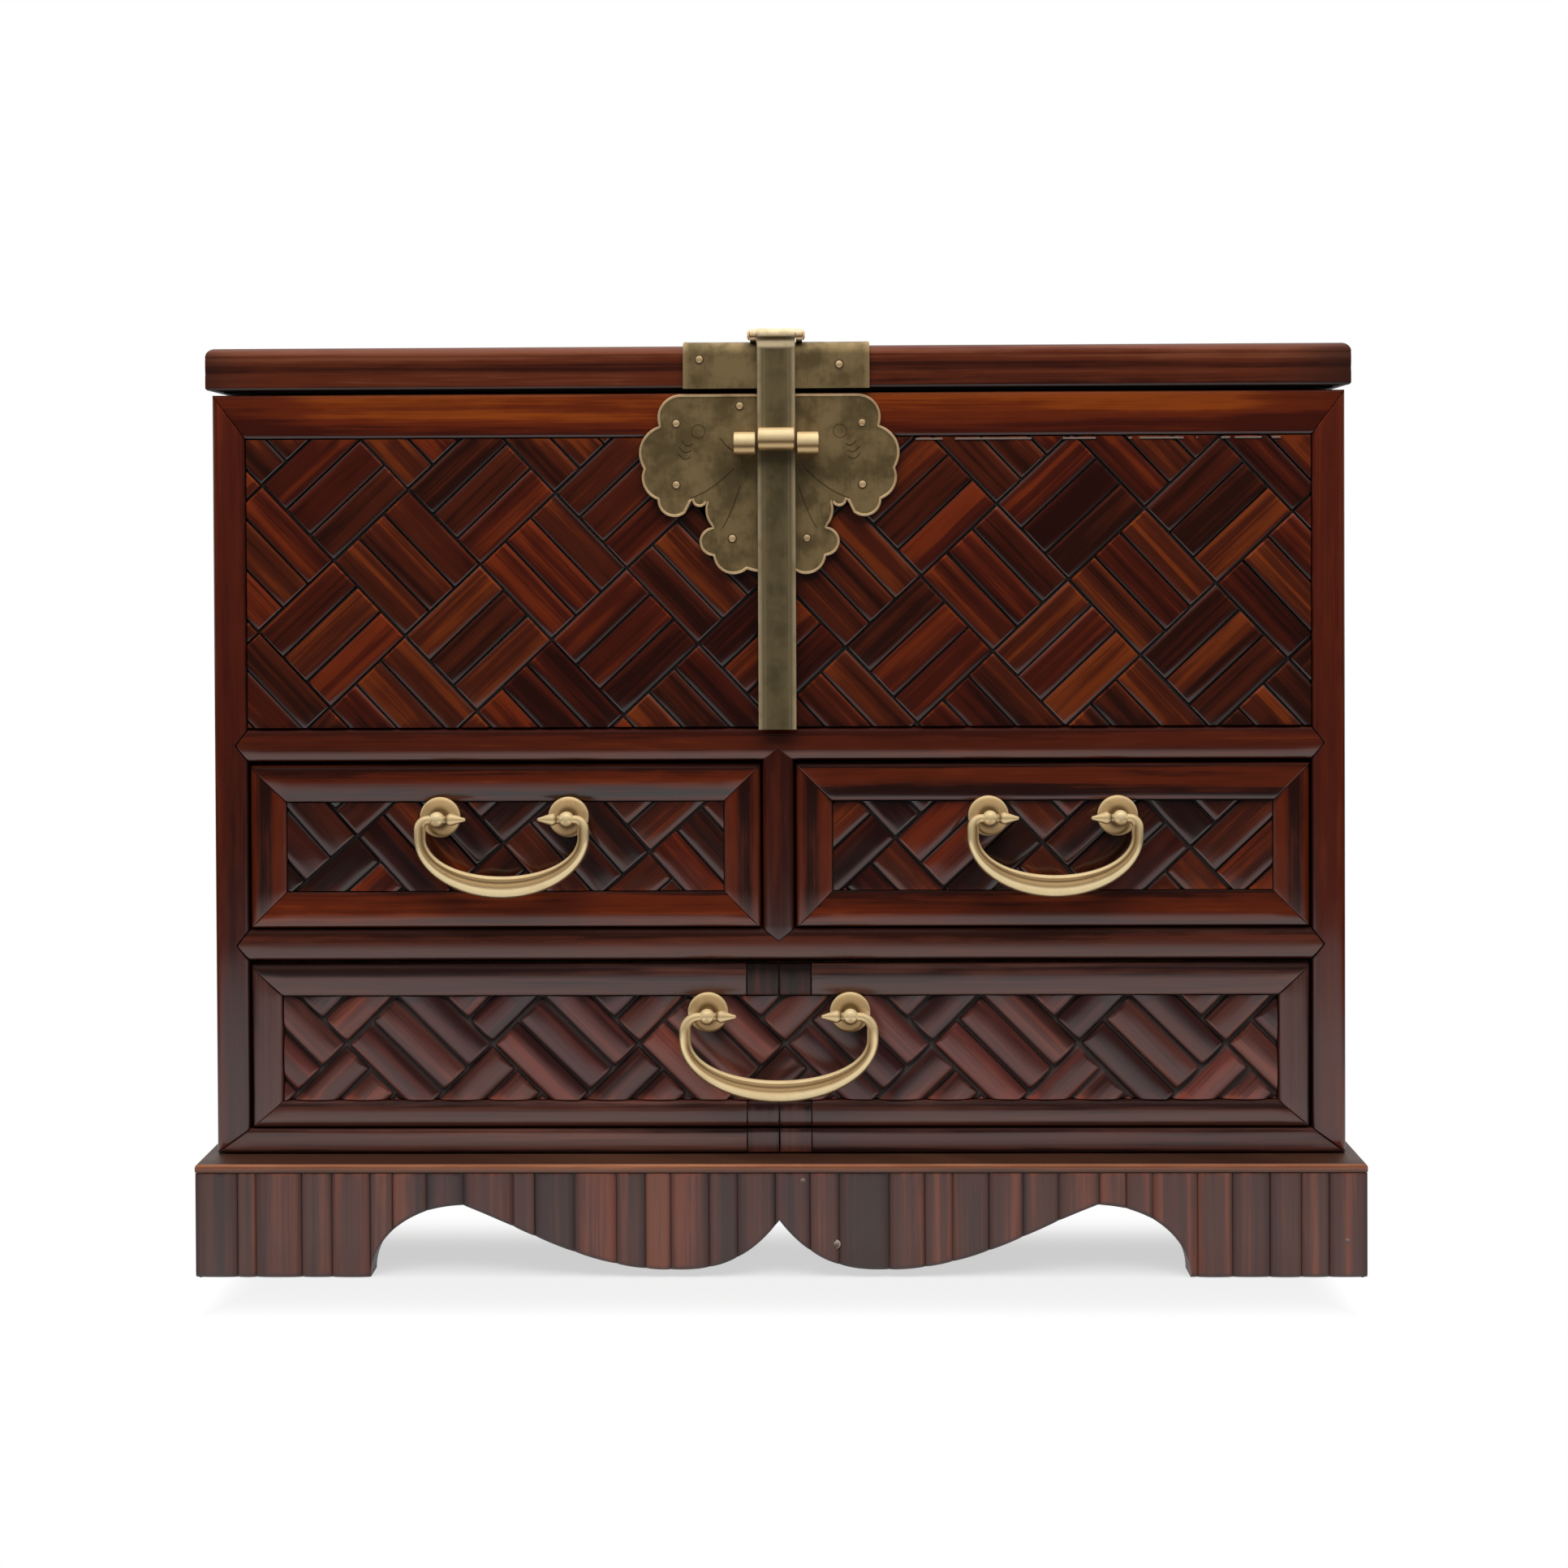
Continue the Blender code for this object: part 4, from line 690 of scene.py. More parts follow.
def stiles(s):
    gap = s["gap"]
    z0, z1 = float(stileLow[2]), float(stileHigh[2])
    middles = {key: (rails[key][0][2] + rails[key][1][2]) / 2 for key in ("middle", "lower")}
    cuts = [notch(at, heights[key] / 2, jointPoint + gap) for key, at in middles.items()]
    near = [np.linspace(-1.1, 1.1, s["notchSteps"]) * heights[key] / 2 + at for key, at in middles.items()]
    even = np.linspace(z0 + heights["bottom"] + 0.003, z1 - heights["top"] - 0.003, s["stileSteps"])
    for name, side in (("left_stile", -1), ("right_stile", 1)):
        place = lambda a, w, h, side=side: (side * (halfBody - w), stripBack - h, a)
        part = reed(stileWidth, lambda w: z0 + heights["bottom"] * w / stileWidth + gap,
                    lambda w: z1 - heights["top"] * w / stileWidth - gap, crownDepth, place,
                    highAt=lambda a: stileWidth - cuts[0](a) - cuts[1](a), power=s["stilePower"],
                    tone=0.46 + 0.06 * side, lift=lambda f: 0.9 - 1.8 * f,
                    stations=np.sort(np.concatenate(near + [even])))
        makePiece(name + "_strip", [part], ["stile"], "case", [name])


def topAndBottomRail(s):
    # both are mitred into the stiles, the top rail longest above and the bottom rail below
    reach = lambda share: halfOpening + stileWidth * share - s["gap"]
    height = heights["top"]
    topReach = lambda w: reach(w / height)
    # painted light above and painted shade, dark red, along its lower third; darker towards its ends as well
    paintedLightAcross = lambda f: 1.9 * np.clip((f - 0.22) / 0.30, 0, 1) - 1.05
    part = reed(height, lambda w: -topReach(w), topReach, crownDepth, overFront(rails["top"][0][2]),
                power=s["topPower"], tone=0.55, lift=paintedLightAcross)
    part["up"] = part["up"] - 1.6 * np.clip((np.abs(part["points"][:, 0]) - 0.148) / 0.025, 0, 1)
    makePiece("top_rail_strip", [part], ["topRail"], "case", ["top_rail"])

    low, stop = heights["bottom"], joinSet["half"]
    lowReach = lambda w: reach(1 - w / low)
    # painted shade along the lower edge, where the rail meets the ledge
    foot = lambda f: -4.0 * np.clip((0.20 - f) / 0.15, 0, 1)
    place = overFront(rails["bottom"][0][2])
    halves = ((lambda w: -lowReach(w), level(-stop), 0.55), (level(stop), lowReach, 0.5))
    parts = [reed(low, start, end, crownDepth, place, power=s["bottomPower"], tone=tone, lift=foot)
             for start, end, tone in halves]
    parts += joinBlocks(low, crownDepth, place, 0.9, power=s["bottomPower"])
    makePiece("bottom_rail_strip", parts, ["longFrame"], "case", ["bottom_rail"], glow=s["darkGlow"])


def innerRails(s):
    # the rails between the drawers end in points, and the post's points cut into them
    cut = notch(0.0, halfPost, jointPoint + s["gap"])
    near = np.linspace(-1.1, 1.1, s["postSteps"]) * halfPost
    even = np.linspace(-halfOpening + 0.006, halfOpening - 0.006, s["railSteps"])
    stations = np.sort(np.concatenate([near, even[np.abs(even) > halfPost * 1.1]]))
    for key, power, paint in (("middle", 3.0, "rail"), ("lower", 2.6, "lowerRail")):
        height = heights[key]
        tip = lambda w: halfOpening - s["tuck"] + jointPoint * (1 - np.abs(2 * w / height - 1))
        cutSide = {"lowAt": cut} if key == "middle" else {"highAt": lambda a: height - cut(a)}
        part = reed(height, lambda w: -tip(w), tip, crownDepth, overFront(rails[key][0][2]), power=power, tone=0.45,
                    stations=stations, **cutSide)
        makePiece(key + "_rail_strip", [part], [paint], "case", [key + "_rail"], glow=s["darkGlow"])
    width = 2 * halfPost
    bottom, top = float(rails["lower"][1][2]), float(rails["middle"][0][2])
    peak = lambda w: jointPoint * (1 - np.abs(2 * w / width - 1)) - s["gap"]
    part = reed(width, lambda w: bottom - peak(w), lambda w: top + peak(w), crownDepth,
                lambda a, w, h: (w - halfPost, stripBack - h, a), tone=0.05, lift=lambda f: 0 * f - 0.5)
    makePiece("drawer_post_strip", [part], ["stile"], "case", ["drawer_post"])


def sideFrames(s):
    for name, side in (("left_side_frame", -1), ("right_side_frame", 1)):
        low, high = edges(name)
        outer = max(abs(low[0]), abs(high[0]))
        deep = float(high[0] - low[0])
        parts = mitredFrame((low[1], high[1], low[2], high[2]), (s["sideStrip"],) * 4, deep,
                            lambda a, b, h: (side * (outer - deep + h), a, b))
        makePiece(name + "_strips", parts, ["stile"], "case", [name])


stiles(frameSet)
topAndBottomRail(frameSet)
innerRails(frameSet)
sideFrames(frameSet)
print("frame strips ready")


# basket weave of split strips
weaveLayout = {
    # corner of four blocks from the field's middle, turn in degrees, lean of the blocks beside it
    "main": {"corner": (-0.0011, 0.0032), "turn": -1.7, "lean": "left", "seed": 21},
    "left": {"corner": (-0.0007, 0.0008), "turn": -3.3, "lean": "left", "seed": 22},
    "right": {"corner": (-0.0031, 0.0008), "turn": -1.9, "lean": "right", "seed": 23},
    "long": {"corner": (0.0020, 0.0011), "turn": 0.0, "lean": "left", "seed": 24},
    "lid": {"corner": (0.0, 0.0), "turn": 0.0, "lean": "left", "seed": 25},
    "leftSide": {"corner": (0.0, 0.0), "turn": 0.0, "lean": "left", "seed": 26},
    "rightSide": {"corner": (0.0, 0.0), "turn": 0.0, "lean": "right", "seed": 27},
}
# glow is painted light by slope: the panel's upper slopes lighter, the drawers' upper slopes darker and lower slopes
# lighter
flatStrip = {"pitch": 0.0114, "gap": 0.00040, "rise": 0.0010, "power": 5.0, "endRound": 0.0008, "endDrop": 0.0008,
             "lift": 0.00025, "floor": -0.0026, "rim": 12, "sink": 0.0, "tilt": 0.05, "glow": 2.6}
smallStrip = {"pitch": 0.0114, "gap": 0.00045, "rise": 0.0018, "power": 5.5, "endRound": 0.0010, "endDrop": 0.0007,
              "lift": 0.0003, "floor": -0.0036, "rim": 14, "sink": 0.0008, "tilt": 0.03, "glow": -2.0}
longStrip = {"pitch": 0.0114, "gap": 0.0006, "rise": 0.0021, "power": 2.2, "endRound": 0.0014, "endDrop": 0.0010,
             "lift": 0.0003, "floor": -0.0036, "rim": 9, "sink": 0.0008, "tilt": 0.10, "glow": -3.5}
thinStrip = {**flatStrip, "rise": 0.0008, "lift": 0.00015, "floor": -0.0014}
weaveSet = {"margin": 0.72, "across": 13, "inner": 6, "lengthTilt": 0.012, "turn": 0.9, "endRim": 0.75,
            "grainShift": 0.5, "backThick": 0.0012, "backInto": 0.0004, "backInset": 0.00004}
waxSet = {"seed": 41, "from": 0.038, "to": 0.168, "ends": 20, "below": 0.0010, "above": 0.0004, "deep": -0.0004,
          "proud": 0.0002}


def weaveStrips(field, layout, s, common):
    # square blocks of three strips on the diagonal, turn about; across each strip the height is
    # -rise * (1 - (1 - |v|^p)^(1/p)), its ends rounded, with a little lift, tilt and turn of its own
    a0, a1, b0, b1 = field
    seed = np.random.default_rng(layout["seed"])
    size = 3 * s["pitch"]
    down, up = [np.array([cos(t), sin(t)]) for t in (radians(layout["turn"] - 45), radians(layout["turn"] + 45))]
    origin = np.array([(a0 + a1) / 2, (b0 + b1) / 2]) + layout["corner"]
    reach = int((a1 - a0 + b1 - b0) / size) + 2
    block = np.arange(-reach, reach)
    i, j, k = [x.ravel() for x in np.meshgrid(block, block, np.arange(3), indexing="ij")]
    leansLeft = (((i + j) % 2 == 0) == (layout["lean"] == "left"))[:, None]
    lengthWay, widthWay = np.where(leansLeft, down, up), np.where(leansLeft, up, down)
    centre = origin + ((i + 0.5)[:, None] * down + (j + 0.5)[:, None] * up) * size
    centre = centre + widthWay * ((k - 1) * s["pitch"])[:, None]
    margin = size * common["margin"]
    keep = ((centre[:, 0] > a0 - margin) & (centre[:, 0] < a1 + margin)
            & (centre[:, 1] > b0 - margin) & (centre[:, 1] < b1 + margin))
    centre, lengthWay, widthWay = centre[keep], lengthWay[keep], widthWay[keep]
    own = seed.random((8, len(centre), 1, 1))
    half = size / 2 - s["gap"] * (0.7 + 0.6 * own[0])
    wide = s["pitch"] / 2 - s["gap"] * (0.35 + 0.4 * own[1])
    d = s["endRound"] * endSteps
    inner = np.linspace(-1, 1, common["inner"])[1:-1] * (size / 2 - s["endRound"])
    u = np.concatenate([d - size / 2, inner, size / 2 - d[::-1]])[None, :, None]
    v = np.sin(np.linspace(-pi / 2, pi / 2, common["across"]))[None, None, :]
    along, across = u * half / (size / 2) + 0 * v, v * wide + 0 * u
    q = np.sqrt(1 - (1 - np.clip((half - np.abs(along)) / s["endRound"], 0, 1)) ** 2)
    tilt = (own[2] - 0.5) * s["tilt"] * across + (own[3] - 0.5) * common["lengthTilt"] * along
    height = -s["rise"] * (1 - (1 - np.abs(v) ** s["power"]) ** (1 / s["power"])) - s["endDrop"] * (1 - q)
    height = np.minimum(height + tilt - s["lift"] * own[4], 0.0) - s["sink"]
    turn = (own[5] - 0.5) * radians(common["turn"])
    a, b = along * np.cos(turn) - across * np.sin(turn), along * np.sin(turn) + across * np.cos(turn)
    pick = lambda ways, n: ways[:, n][:, None, None]
    x, y = [pick(centre, n) + a * pick(lengthWay, n) + b * pick(widthWay, n) for n in (0, 1)]
    rim = np.maximum(np.abs(v) ** s["rim"] + 0 * along, common["endRim"] * (1 - q))
    part = crowned(x, y, height, s["floor"], own[6], rim, lambda a, b, h: (a, b, h))
    part["uv"] = np.stack([grow(along + own[7] * common["grainShift"]), grow(across)], -1).reshape(-1, 2)
    return part


def weavePiece(name, key, field, s, toPoint, paint, body, replaced, backing=True, wax=(), common=weaveSet):
    a0, a1, b0, b1 = field
    parts = [weaveStrips(field, weaveLayout[key], s, common)]
    # painted highlight: thin pale blocks along the top edge of the field
    parts += [block((a, b1 - waxSet["below"], waxSet["deep"]), (b, b1 - waxSet["above"], waxSet["proud"]), paint=1)
              for a, b in wax]
    if backing:
        e = common["backInset"]
        parts.append(block((a0 + e, b0 + e, s["floor"] - common["backThick"]),
                           (a1 - e, b1 - e, s["floor"] + common["backInto"]), rim=1.0))
    makePiece(name, parts, [paint, "wax"] if wax else [paint], body, replaced,
              field=tuple(float(x) for x in field), toPoint=toPoint, glow=s["glow"])


def frontWeave(name, key, node, s, paint, body, **more):
    low, high = edges(node)
    face = float(low[1])
    weavePiece(name, key, (low[0], high[0], low[2], high[2]), s, lambda a, b, h: (a, face - h, b), paint, body,
               [node], **more)


# painted highlight: pale dashes in the angle under the top rail, right half, in place of a glint on the strips' ends
waxEnds = np.sort(np.random.default_rng(waxSet["seed"]).uniform(waxSet["from"], waxSet["to"], waxSet["ends"]))
frontWeave("main_weave", "main", "main_parquetry", flatStrip, "panel", "case", wax=waxEnds.reshape(-1, 2).tolist())
for key in ("left", "right", "long"):
    strip, paint = (longStrip, "longWeave") if key == "long" else (smallStrip, "drawerWeave")
    frontWeave(key + "_drawer_weave", key, key + "_drawer_parquetry", strip, paint, key + "_drawer")

# the sides and the lid's top carry the same weave on their boards
boardWeaveSet = {"sideMargin": 0.0113, "sideProud": 0.0003, "lidProud": 0.0009}


def boardWeaves(s):
    m = s["sideMargin"]
    top = halfBody + s["sideProud"]
    for name, side in (("left", -1), ("right", 1)):
        low, high = edges(name + "_side_board")
        weavePiece(name + "_side_weave", name + "Side", (low[1] + m, high[1] - m, low[2] + m, high[2] - m), thinStrip,
                   lambda a, b, h: (side * (top + h), a, b), "panel", "case", [], backing=False)
    low, high = edges("lid_board")
    lidTop = float(high[2]) + s["lidProud"]
    weavePiece("lid_weave", "lid", (low[0], high[0], low[1], high[1]), thinStrip, lambda a, b, h: (a, b, lidTop + h),
               "panel", "lid", [], backing=False)


boardWeaves(boardWeaveSet)
print("weave ready")


apronSet = {
    "front": {"foot": 0.057, "round": 0.030, "lobe": 0.035, "seed": 31},
    "side": {"foot": 0.045, "round": 0.022, "lobe": 0.022, "seed": 32},
    "arch": 0.0234, "cusp": 0.0184, "low": 0.0024, "thick": 0.011,
    "plank": 0.0112, "jitter": 0.0062, "groove": 0.0004, "crown": 0.0003, "uneven": 0.0002, "jointDark": 0.74,
    "nails": ((0.0076, 0.0316), (0.0184, 0.0109), (0.1835, 0.0120)), "nail": 0.00095, "nailSunk": 0.0004,
}


def apronLine(half, s, common):
    # lower edge from the middle out: cusp to lobe on 1 - (1 - t)^2.8, lobe to peak on 1.3 t^2 - 0.3 t^5,
    # peak to foot on a quarter ellipse, then level
    cusp, low, arch = common["cusp"], common["low"], common["arch"]
    inner = half - s["foot"]
    peak = inner - s["round"]
    t = np.linspace(0, 1, 25)
    a = t * pi / 2
    x = np.concatenate([s["lobe"] * t, s["lobe"] + (peak - s["lobe"]) * t[1:], peak + s["round"] * np.sin(a[1:]),
                        [inner + 1e-5, half]])
    rise = 1.3 * t[1:] ** 2 - 0.3 * t[1:] ** 5
    z = np.concatenate([cusp - (cusp - low) * (1 - (1 - t) ** 2.8), low + (arch - low) * rise,
                        arch * np.cos(a[1:]), [0, 0]])
    return np.concatenate([-x[:0:-1], x]), np.concatenate([z[:0:-1], z])


def apronPiece(node, half, outer, top, s, toPoint, nails=(), common=apronSet):
    # a section of nine points, from the back round the face and back, carried along the apron; each plank's
    # face lies at outer - groove * |f|^10 - crown * f^2, with f from -1 to 1 across the plank
    seed = np.random.default_rng(s["seed"])
    count = int(round(2 * half / common["plank"]))
    joints = np.linspace(-half, half, count + 1)
    joints[1:-1] += (seed.random(count - 1) - 0.5) * common["jitter"]
    t = np.array([-0.995, -0.96, -0.88, -0.7, -0.35, 0, 0.35, 0.7, 0.88, 0.96, 0.995])
    planks = ((joints[:-1] + joints[1:])[:, None] / 2 + t * np.diff(joints)[:, None] / 2).ravel()
    lineX, lineZ = apronLine(half, s, common)
    x = np.unique(np.concatenate([planks, lineX]).round(7))
    z = np.interp(x, lineX, lineZ)
    which = np.clip(np.searchsorted(joints, x) - 1, 0, count - 1)
    f = 2 * (x - joints[which]) / np.diff(joints)[which] - 1
    own = seed.random((2, count))
    tone = own[0][which]
    face = outer - common["groove"] * np.abs(f) ** 10 - common["crown"] * f ** 2 - common["uneven"] * own[1][which]
    backX = np.clip(x, common["thick"] - half, half - common["thick"])
    back, high = np.full_like(x, outer - common["thick"]), 0 * z + top
    rows = [(backX, back, z), (x, face - 0.0009, z), (x, face - 0.0003, z + 0.0003), (x, face, z + 0.0011),
            (x, face, z + 0.0018), (x, face, high - 0.0016), (x, face, high - 0.0008), (x, face - 0.0001, high),
            (backX, back, high)]
    # painted shade: the back rows and the rows along the lower edge are painted darker, the shade at the foot
    edge = np.array([0.6, 0.55, 0.3, 0.0, 0.0, 0.0, 0.0, 0.0, 0.6])
    points = np.stack([np.stack(toPoint(*r), -1) for r in rows], 1)
    alongZ = np.stack([r[2] for r in rows], 1)
    rim = np.maximum(common["jointDark"] * np.abs(f)[:, None] ** 5, edge[None])
    part = skin(points, wrapCols=True, caps=True, uv=np.stack([alongZ + tone[:, None], x[:, None] + 0 * alongZ], -1),
                tone=np.repeat(tone, len(rows)), rim=rim)
    # the nail heads take the same pale finish, their highlight painted in
    heads = [rivet(a, b, common["nailSunk"] - outer, common["nail"], paint=1) for a, b in nails]
    makePiece(node + "_planks", [part] + heads, ["plinth", "wax"] if nails else ["plinth"], "case", [node],
              crease=50)


def plinth(s):
    low, high = edges("plinth_front_apron")
    half, outer, top = float(high[0]), float(-low[1]), float(high[2])
    apronPiece("plinth_front_apron", half, outer, top, s["front"], lambda x, d, z: (x, -d, z), s["nails"])
    apronPiece("plinth_back_apron", half, outer, top, s["front"], lambda x, d, z: (x, d, z))
    low, high = edges("plinth_right_apron")
    half, outer = float(high[1]), float(high[0])
    apronPiece("plinth_left_apron", half, outer, top, s["side"], lambda y, d, z: (-d, y, z))
    apronPiece("plinth_right_apron", half, outer, top, s["side"], lambda y, d, z: (d, y, z))


ledgeSet = {"upper": 0.7, "lower": 0.12, "steps": 40, "topDark": 0.96, "footDark": 0.45}


def ledgeBoard(s):
    # the plinth's thin top board: half a round, flatter below, carried round its rectangle
    low, high = edges("plinth_top_board")
    a = np.linspace(-pi / 2, pi / 2, 9)
    r = float(high[2] - low[2]) / 2
    inset = (r * np.where(a > 0, s["upper"], s["lower"]) * (1 - np.cos(a)))[:, None]
    level = ((low[2] + high[2]) / 2 + r * np.sin(a))[:, None]
    side = np.linspace(-1, 1, s["steps"])
    one, rest, inner = 0 * side + 1, side[1:], side[1:-1]
    ring = np.concatenate([np.stack([side, -one], -1), np.stack([one[1:], rest], -1), np.stack([-rest, one[1:]], -1),
                           np.stack([-one[1:-1], -inner], -1)])
    points = np.stack([ring[:, 0] * (high[0] - inset), ring[:, 1] * (high[1] - inset), level + 0 * ring[:, 0]], -1)
    long = np.concatenate([side * high[0], rest * high[1], -rest * high[0], -inner * high[1]])
    uv = np.stack([long + 0 * level, inset + level + 0 * long], -1)
    lean = np.degrees(a)[:, None]
    # painted reflection and shade: the top is painted dark, standing in for the dark body mirrored in it, and the
    # underside is painted darker
    dark = np.maximum(np.clip((lean - 45) / 30, 0, 1) * s["topDark"], np.clip((-lean - 5) / 30, 0, 1) * s["footDark"])
    part = skin(points, wrapCols=True, caps=True, uv=uv, tone=0.6, rim=dark + 0 * long)
    makePiece("plinth_ledge", [part], ["ledge"], "case", ["plinth_top_board"])


plinth(apronSet)
ledgeBoard(ledgeSet)
print("plinth ready")


lidSet = {"width": 0.012, "round": 0.0030, "backRound": 0.0012, "footRound": 0.0010, "rebate": 0.0006,
          "rebateDeep": 0.005, "lines": (0.42, 0.80), "groove": 0.00005, "lineWidth": 0.0018, "wave": 0.00012,
          "endDark": (0.62, 0.78), "endReach": (0.012, 0.020), "tone": 0.42}


def lidEdges(s):
    # a section from the rebate round the foot, up the face with its two lines and over the top, carried along
    # each side and mitred at the corners by making it as long as it reaches out
    width, lower = s["width"], s["footRound"]
    for name in ("front", "back", "left", "right"):
        low, high = edges(f"lid_{name}_edge")
        z0, z1 = float(low[2]), float(high[2])
        r = s["round"] if name != "back" else s["backRound"]
        foot = z0 + s["rebate"]
        a = np.linspace(0, pi / 2, 9)
        flat = np.linspace(foot + lower, z1 - r, 41)[1:-1]
        cut = sum(s["groove"] * np.exp(-(((flat - z0 - f * (z1 - z0)) / s["lineWidth"]) ** 2) * 4)
                  for f in s["lines"])
        out = np.concatenate([[0, width - s["rebateDeep"], width - s["rebateDeep"]],
                              width - lower + lower * np.sin(a), width - cut, width - r + r * np.cos(a), [0]])
        height = np.concatenate([[z0, z0, foot], foot + lower - lower * np.cos(a), flat,
                                 z1 - r + r * np.sin(a), [z1]])
        # painted shade: the rebate and the foot are near black to read as the shadowed gap under the lid, and the top
        # rounding is painted darker; the two lines are faint dark marks
        dark = np.concatenate([[0.95] * 3, 0.9 * np.cos(a), cut / s["groove"] * 0.12, 0.70 * np.sin(a), [0.7]])
        share = (height - z0) / (z1 - z0)
        # painted light on the upper part of the face, painted shade in a streak across its middle
        shade = 0.8 * np.clip((share - 0.58) / 0.12, 0, 1) - 0.9 * np.exp(-((share - 0.50) / 0.08) ** 2)
        axis = 0 if name in ("front", "back") else 1
        span = (high[axis] - low[axis]) / 2
        middle = 0.0 if axis == 0 else (high[1] + low[1]) / 2
        t = np.concatenate([[-1, -0.994], np.linspace(-0.985, 0.985, 50), [0.994, 1]])[:, None]
        along = t * (span - width + out)
        wave = s["wave"] * np.sin(along * 61 + len(name)) * np.clip(out / width, 0, 1)
        reach = out + wave - s["wave"]
        across = low[1 - axis] + width - reach if name in ("front", "left") else high[1 - axis] - width + reach
        rows = [along + middle, across] if axis == 0 else [across, along + middle]
        points = np.stack(rows + [height + 0 * along], -1)
        endDark, endReach = [np.where(t < 0, *s[k]) for k in ("endDark", "endReach")]
        rim = np.maximum(dark, endDark * np.exp(-((1 - np.abs(t)) * span / endReach) ** 2))
        part = skin(points, wrapCols=True, caps=True, uv=np.stack([along, height + 0.4 * out + 0 * along], -1),
                    tone=s["tone"], up=shade + 0 * along, rim=rim)
        makePiece(f"lid_{name}_nose", [part], ["lidEdge"], "lid", [f"lid_{name}_edge"])


lidEdges(lidSet)
print("lid edges ready")


# painted light and shade across a strip, from the outer edge 0 to the inner edge 1: the top strip darker along its
# inner part, the bottom strip lighter in a band and darker at its outer edge; the sides darker all along
drawerLifts = {"t": lambda f: -1.5 * np.clip((f - 0.45) / 0.2, 0, 1),
               "b": lambda f: 0.6 * np.exp(-((f - 0.55) / 0.22) ** 2) - 0.9 * np.clip((0.32 - f) / 0.15, 0, 1),
               "l": lambda f: 0 * f - 0.4, "r": lambda f: 0 * f - 0.4}
smallDrawer = {"widths": (0.012,) * 4, "paint": "drawerFrame",
               "look": {"tones": {"l": 0.55, "b": 0.85, "r": 0.55, "t": 0.45}, "lifts": drawerLifts, "power": 8.0}}
drawerSet = {
    "left": {**smallDrawer, "sloped": "lrtb"},
    "right": {**smallDrawer, "sloped": "lrb"},
    "long": {"widths": (0.0104, 0.0088, 0.0104, 0.0104), "paint": "longFrame", "sloped": "t",
             "look": {"tones": {"l": 0.5, "b": 0.6, "r": 0.5, "t": 0.15}, "middle": joinSet["half"]}},
}
for key, s in drawerSet.items():
    low, high = edges(key + "_drawer_frame")
    # glow -5 paints the upper slopes darker and the lower ones lighter: painted shade and painted light
    parts = mitredFrame((low[0], high[0], low[2], high[2]), s["widths"], crownDepth,
                        lambda a, b, h: (a, stripBack - h, b), sloped=s["sloped"], **s["look"])
    makePiece(key + "_drawer_strips", parts, [s["paint"], "joinBlock"], key + "_drawer", [key + "_drawer_frame"],
              glow=-5.0)
print("drawer frames ready")


pullSet = {
    "left": {"spacing": 0.0423, "drop": 0.0257, "shoulder": 0.0028},
    "right": {"spacing": 0.0423, "drop": 0.0257, "shoulder": 0.0028},
    "long": {"spacing": 0.0467, "drop": 0.0280, "shoulder": 0.0045},
    "eye": 0.0026, "eyePlay": 0.00015, "side": 0.003, "endRadius": 0.00135, "sideRadius": 0.0019,
    "footRadius": 0.0036, "footDepth": 0.0021, "finial": 0.0095, "cone": 0.0020, "tip": 0.0006, "bailSides": 60,
    "rosette": 0.0067, "rise": 0.0021, "neck": 0.0019, "seat": 0.0003, "pole": 0.00004, "postSides": 48,
    "shank": ((0.0, 0.0018), (0.0007, 0.0026), (0.0015, 0.003), (0.0015, 0.0017)),
}


def pullPost(name, s, body):
    # turned about y: clinched shank behind, stepped and dished rosette, neck and ball
    low, high = edges(name)
    x, z = (low[0] + high[0]) / 2, (low[2] + high[2]) / 2
    seat = edges(body + "_parquetry")[0][1] - s["seat"]
    eyeY = low[1] + s["eye"]
    broad, rise, neck = s["rosette"], s["rise"], s["neck"]
    shank = [(high[1] - d, r) for d, r in s["shank"]] + [(seat, s["shank"][-1][1])]
    b = np.linspace(0, pi / 2, 10)
    dome = np.stack([seat - rise * (0.30 + 0.70 * np.sin(b)), broad * (0.34 + 0.66 * np.cos(b))], -1)
    disc = np.vstack([[(seat + 0.0008, broad * 0.97), (seat - rise * 0.12, broad)], dome,
                      [(seat - rise * 1.25, neck), (seat - rise * 1.7, neck * 0.92)]])
    a = np.linspace(radians(42), pi, 16)
    ball = np.stack([eyeY + s["eye"] * np.cos(a), np.maximum(s["eye"] * np.sin(a), s["pole"])], -1)
    # darker round the rosette's foot and the neck, dirt with painted shade, and painted shade over its lower half;
    # painted highlights on the dome and the ball, fainter on the lower half
    ringDirtAndShade = np.concatenate([[0.25] * 2, 0.95 * np.clip((b - 1.15) / 0.3, 0, 1), [1.0, 0.9]])
    dirtAndShade = np.concatenate([np.zeros(5), ringDirtAndShade, 0.8 * np.clip(1 - (a - a[0]) / 0.6, 0, 1)])
    rubbed = np.concatenate([np.zeros(7), np.exp(-((b - 0.30) / 0.25) ** 2) * 0.6, [0, 0],
                             0.9 * np.clip((a - 1.2) / 0.6, 0, 1)])
    below = np.clip(-np.sin(np.linspace(0, 2 * pi, s["postSides"], endpoint=False)), 0, 1)
    belowShare = np.repeat([0, 0.62, 0.3], (len(shank), len(disc), len(ball)))[:, None]
    dirtAndShade = np.clip(dirtAndShade[:, None] + belowShare * below, 0, 1)
    part = revolve("y", (x, 0, z), np.vstack([shank, disc, ball]), sides=s["postSides"], tone=0.5 + 0.5 * dirtAndShade,
                   rim=rubbed[:, None] * (1 - 0.7 * below))
    makePiece(name + "_turned", [part], ["pull"], body, [name])


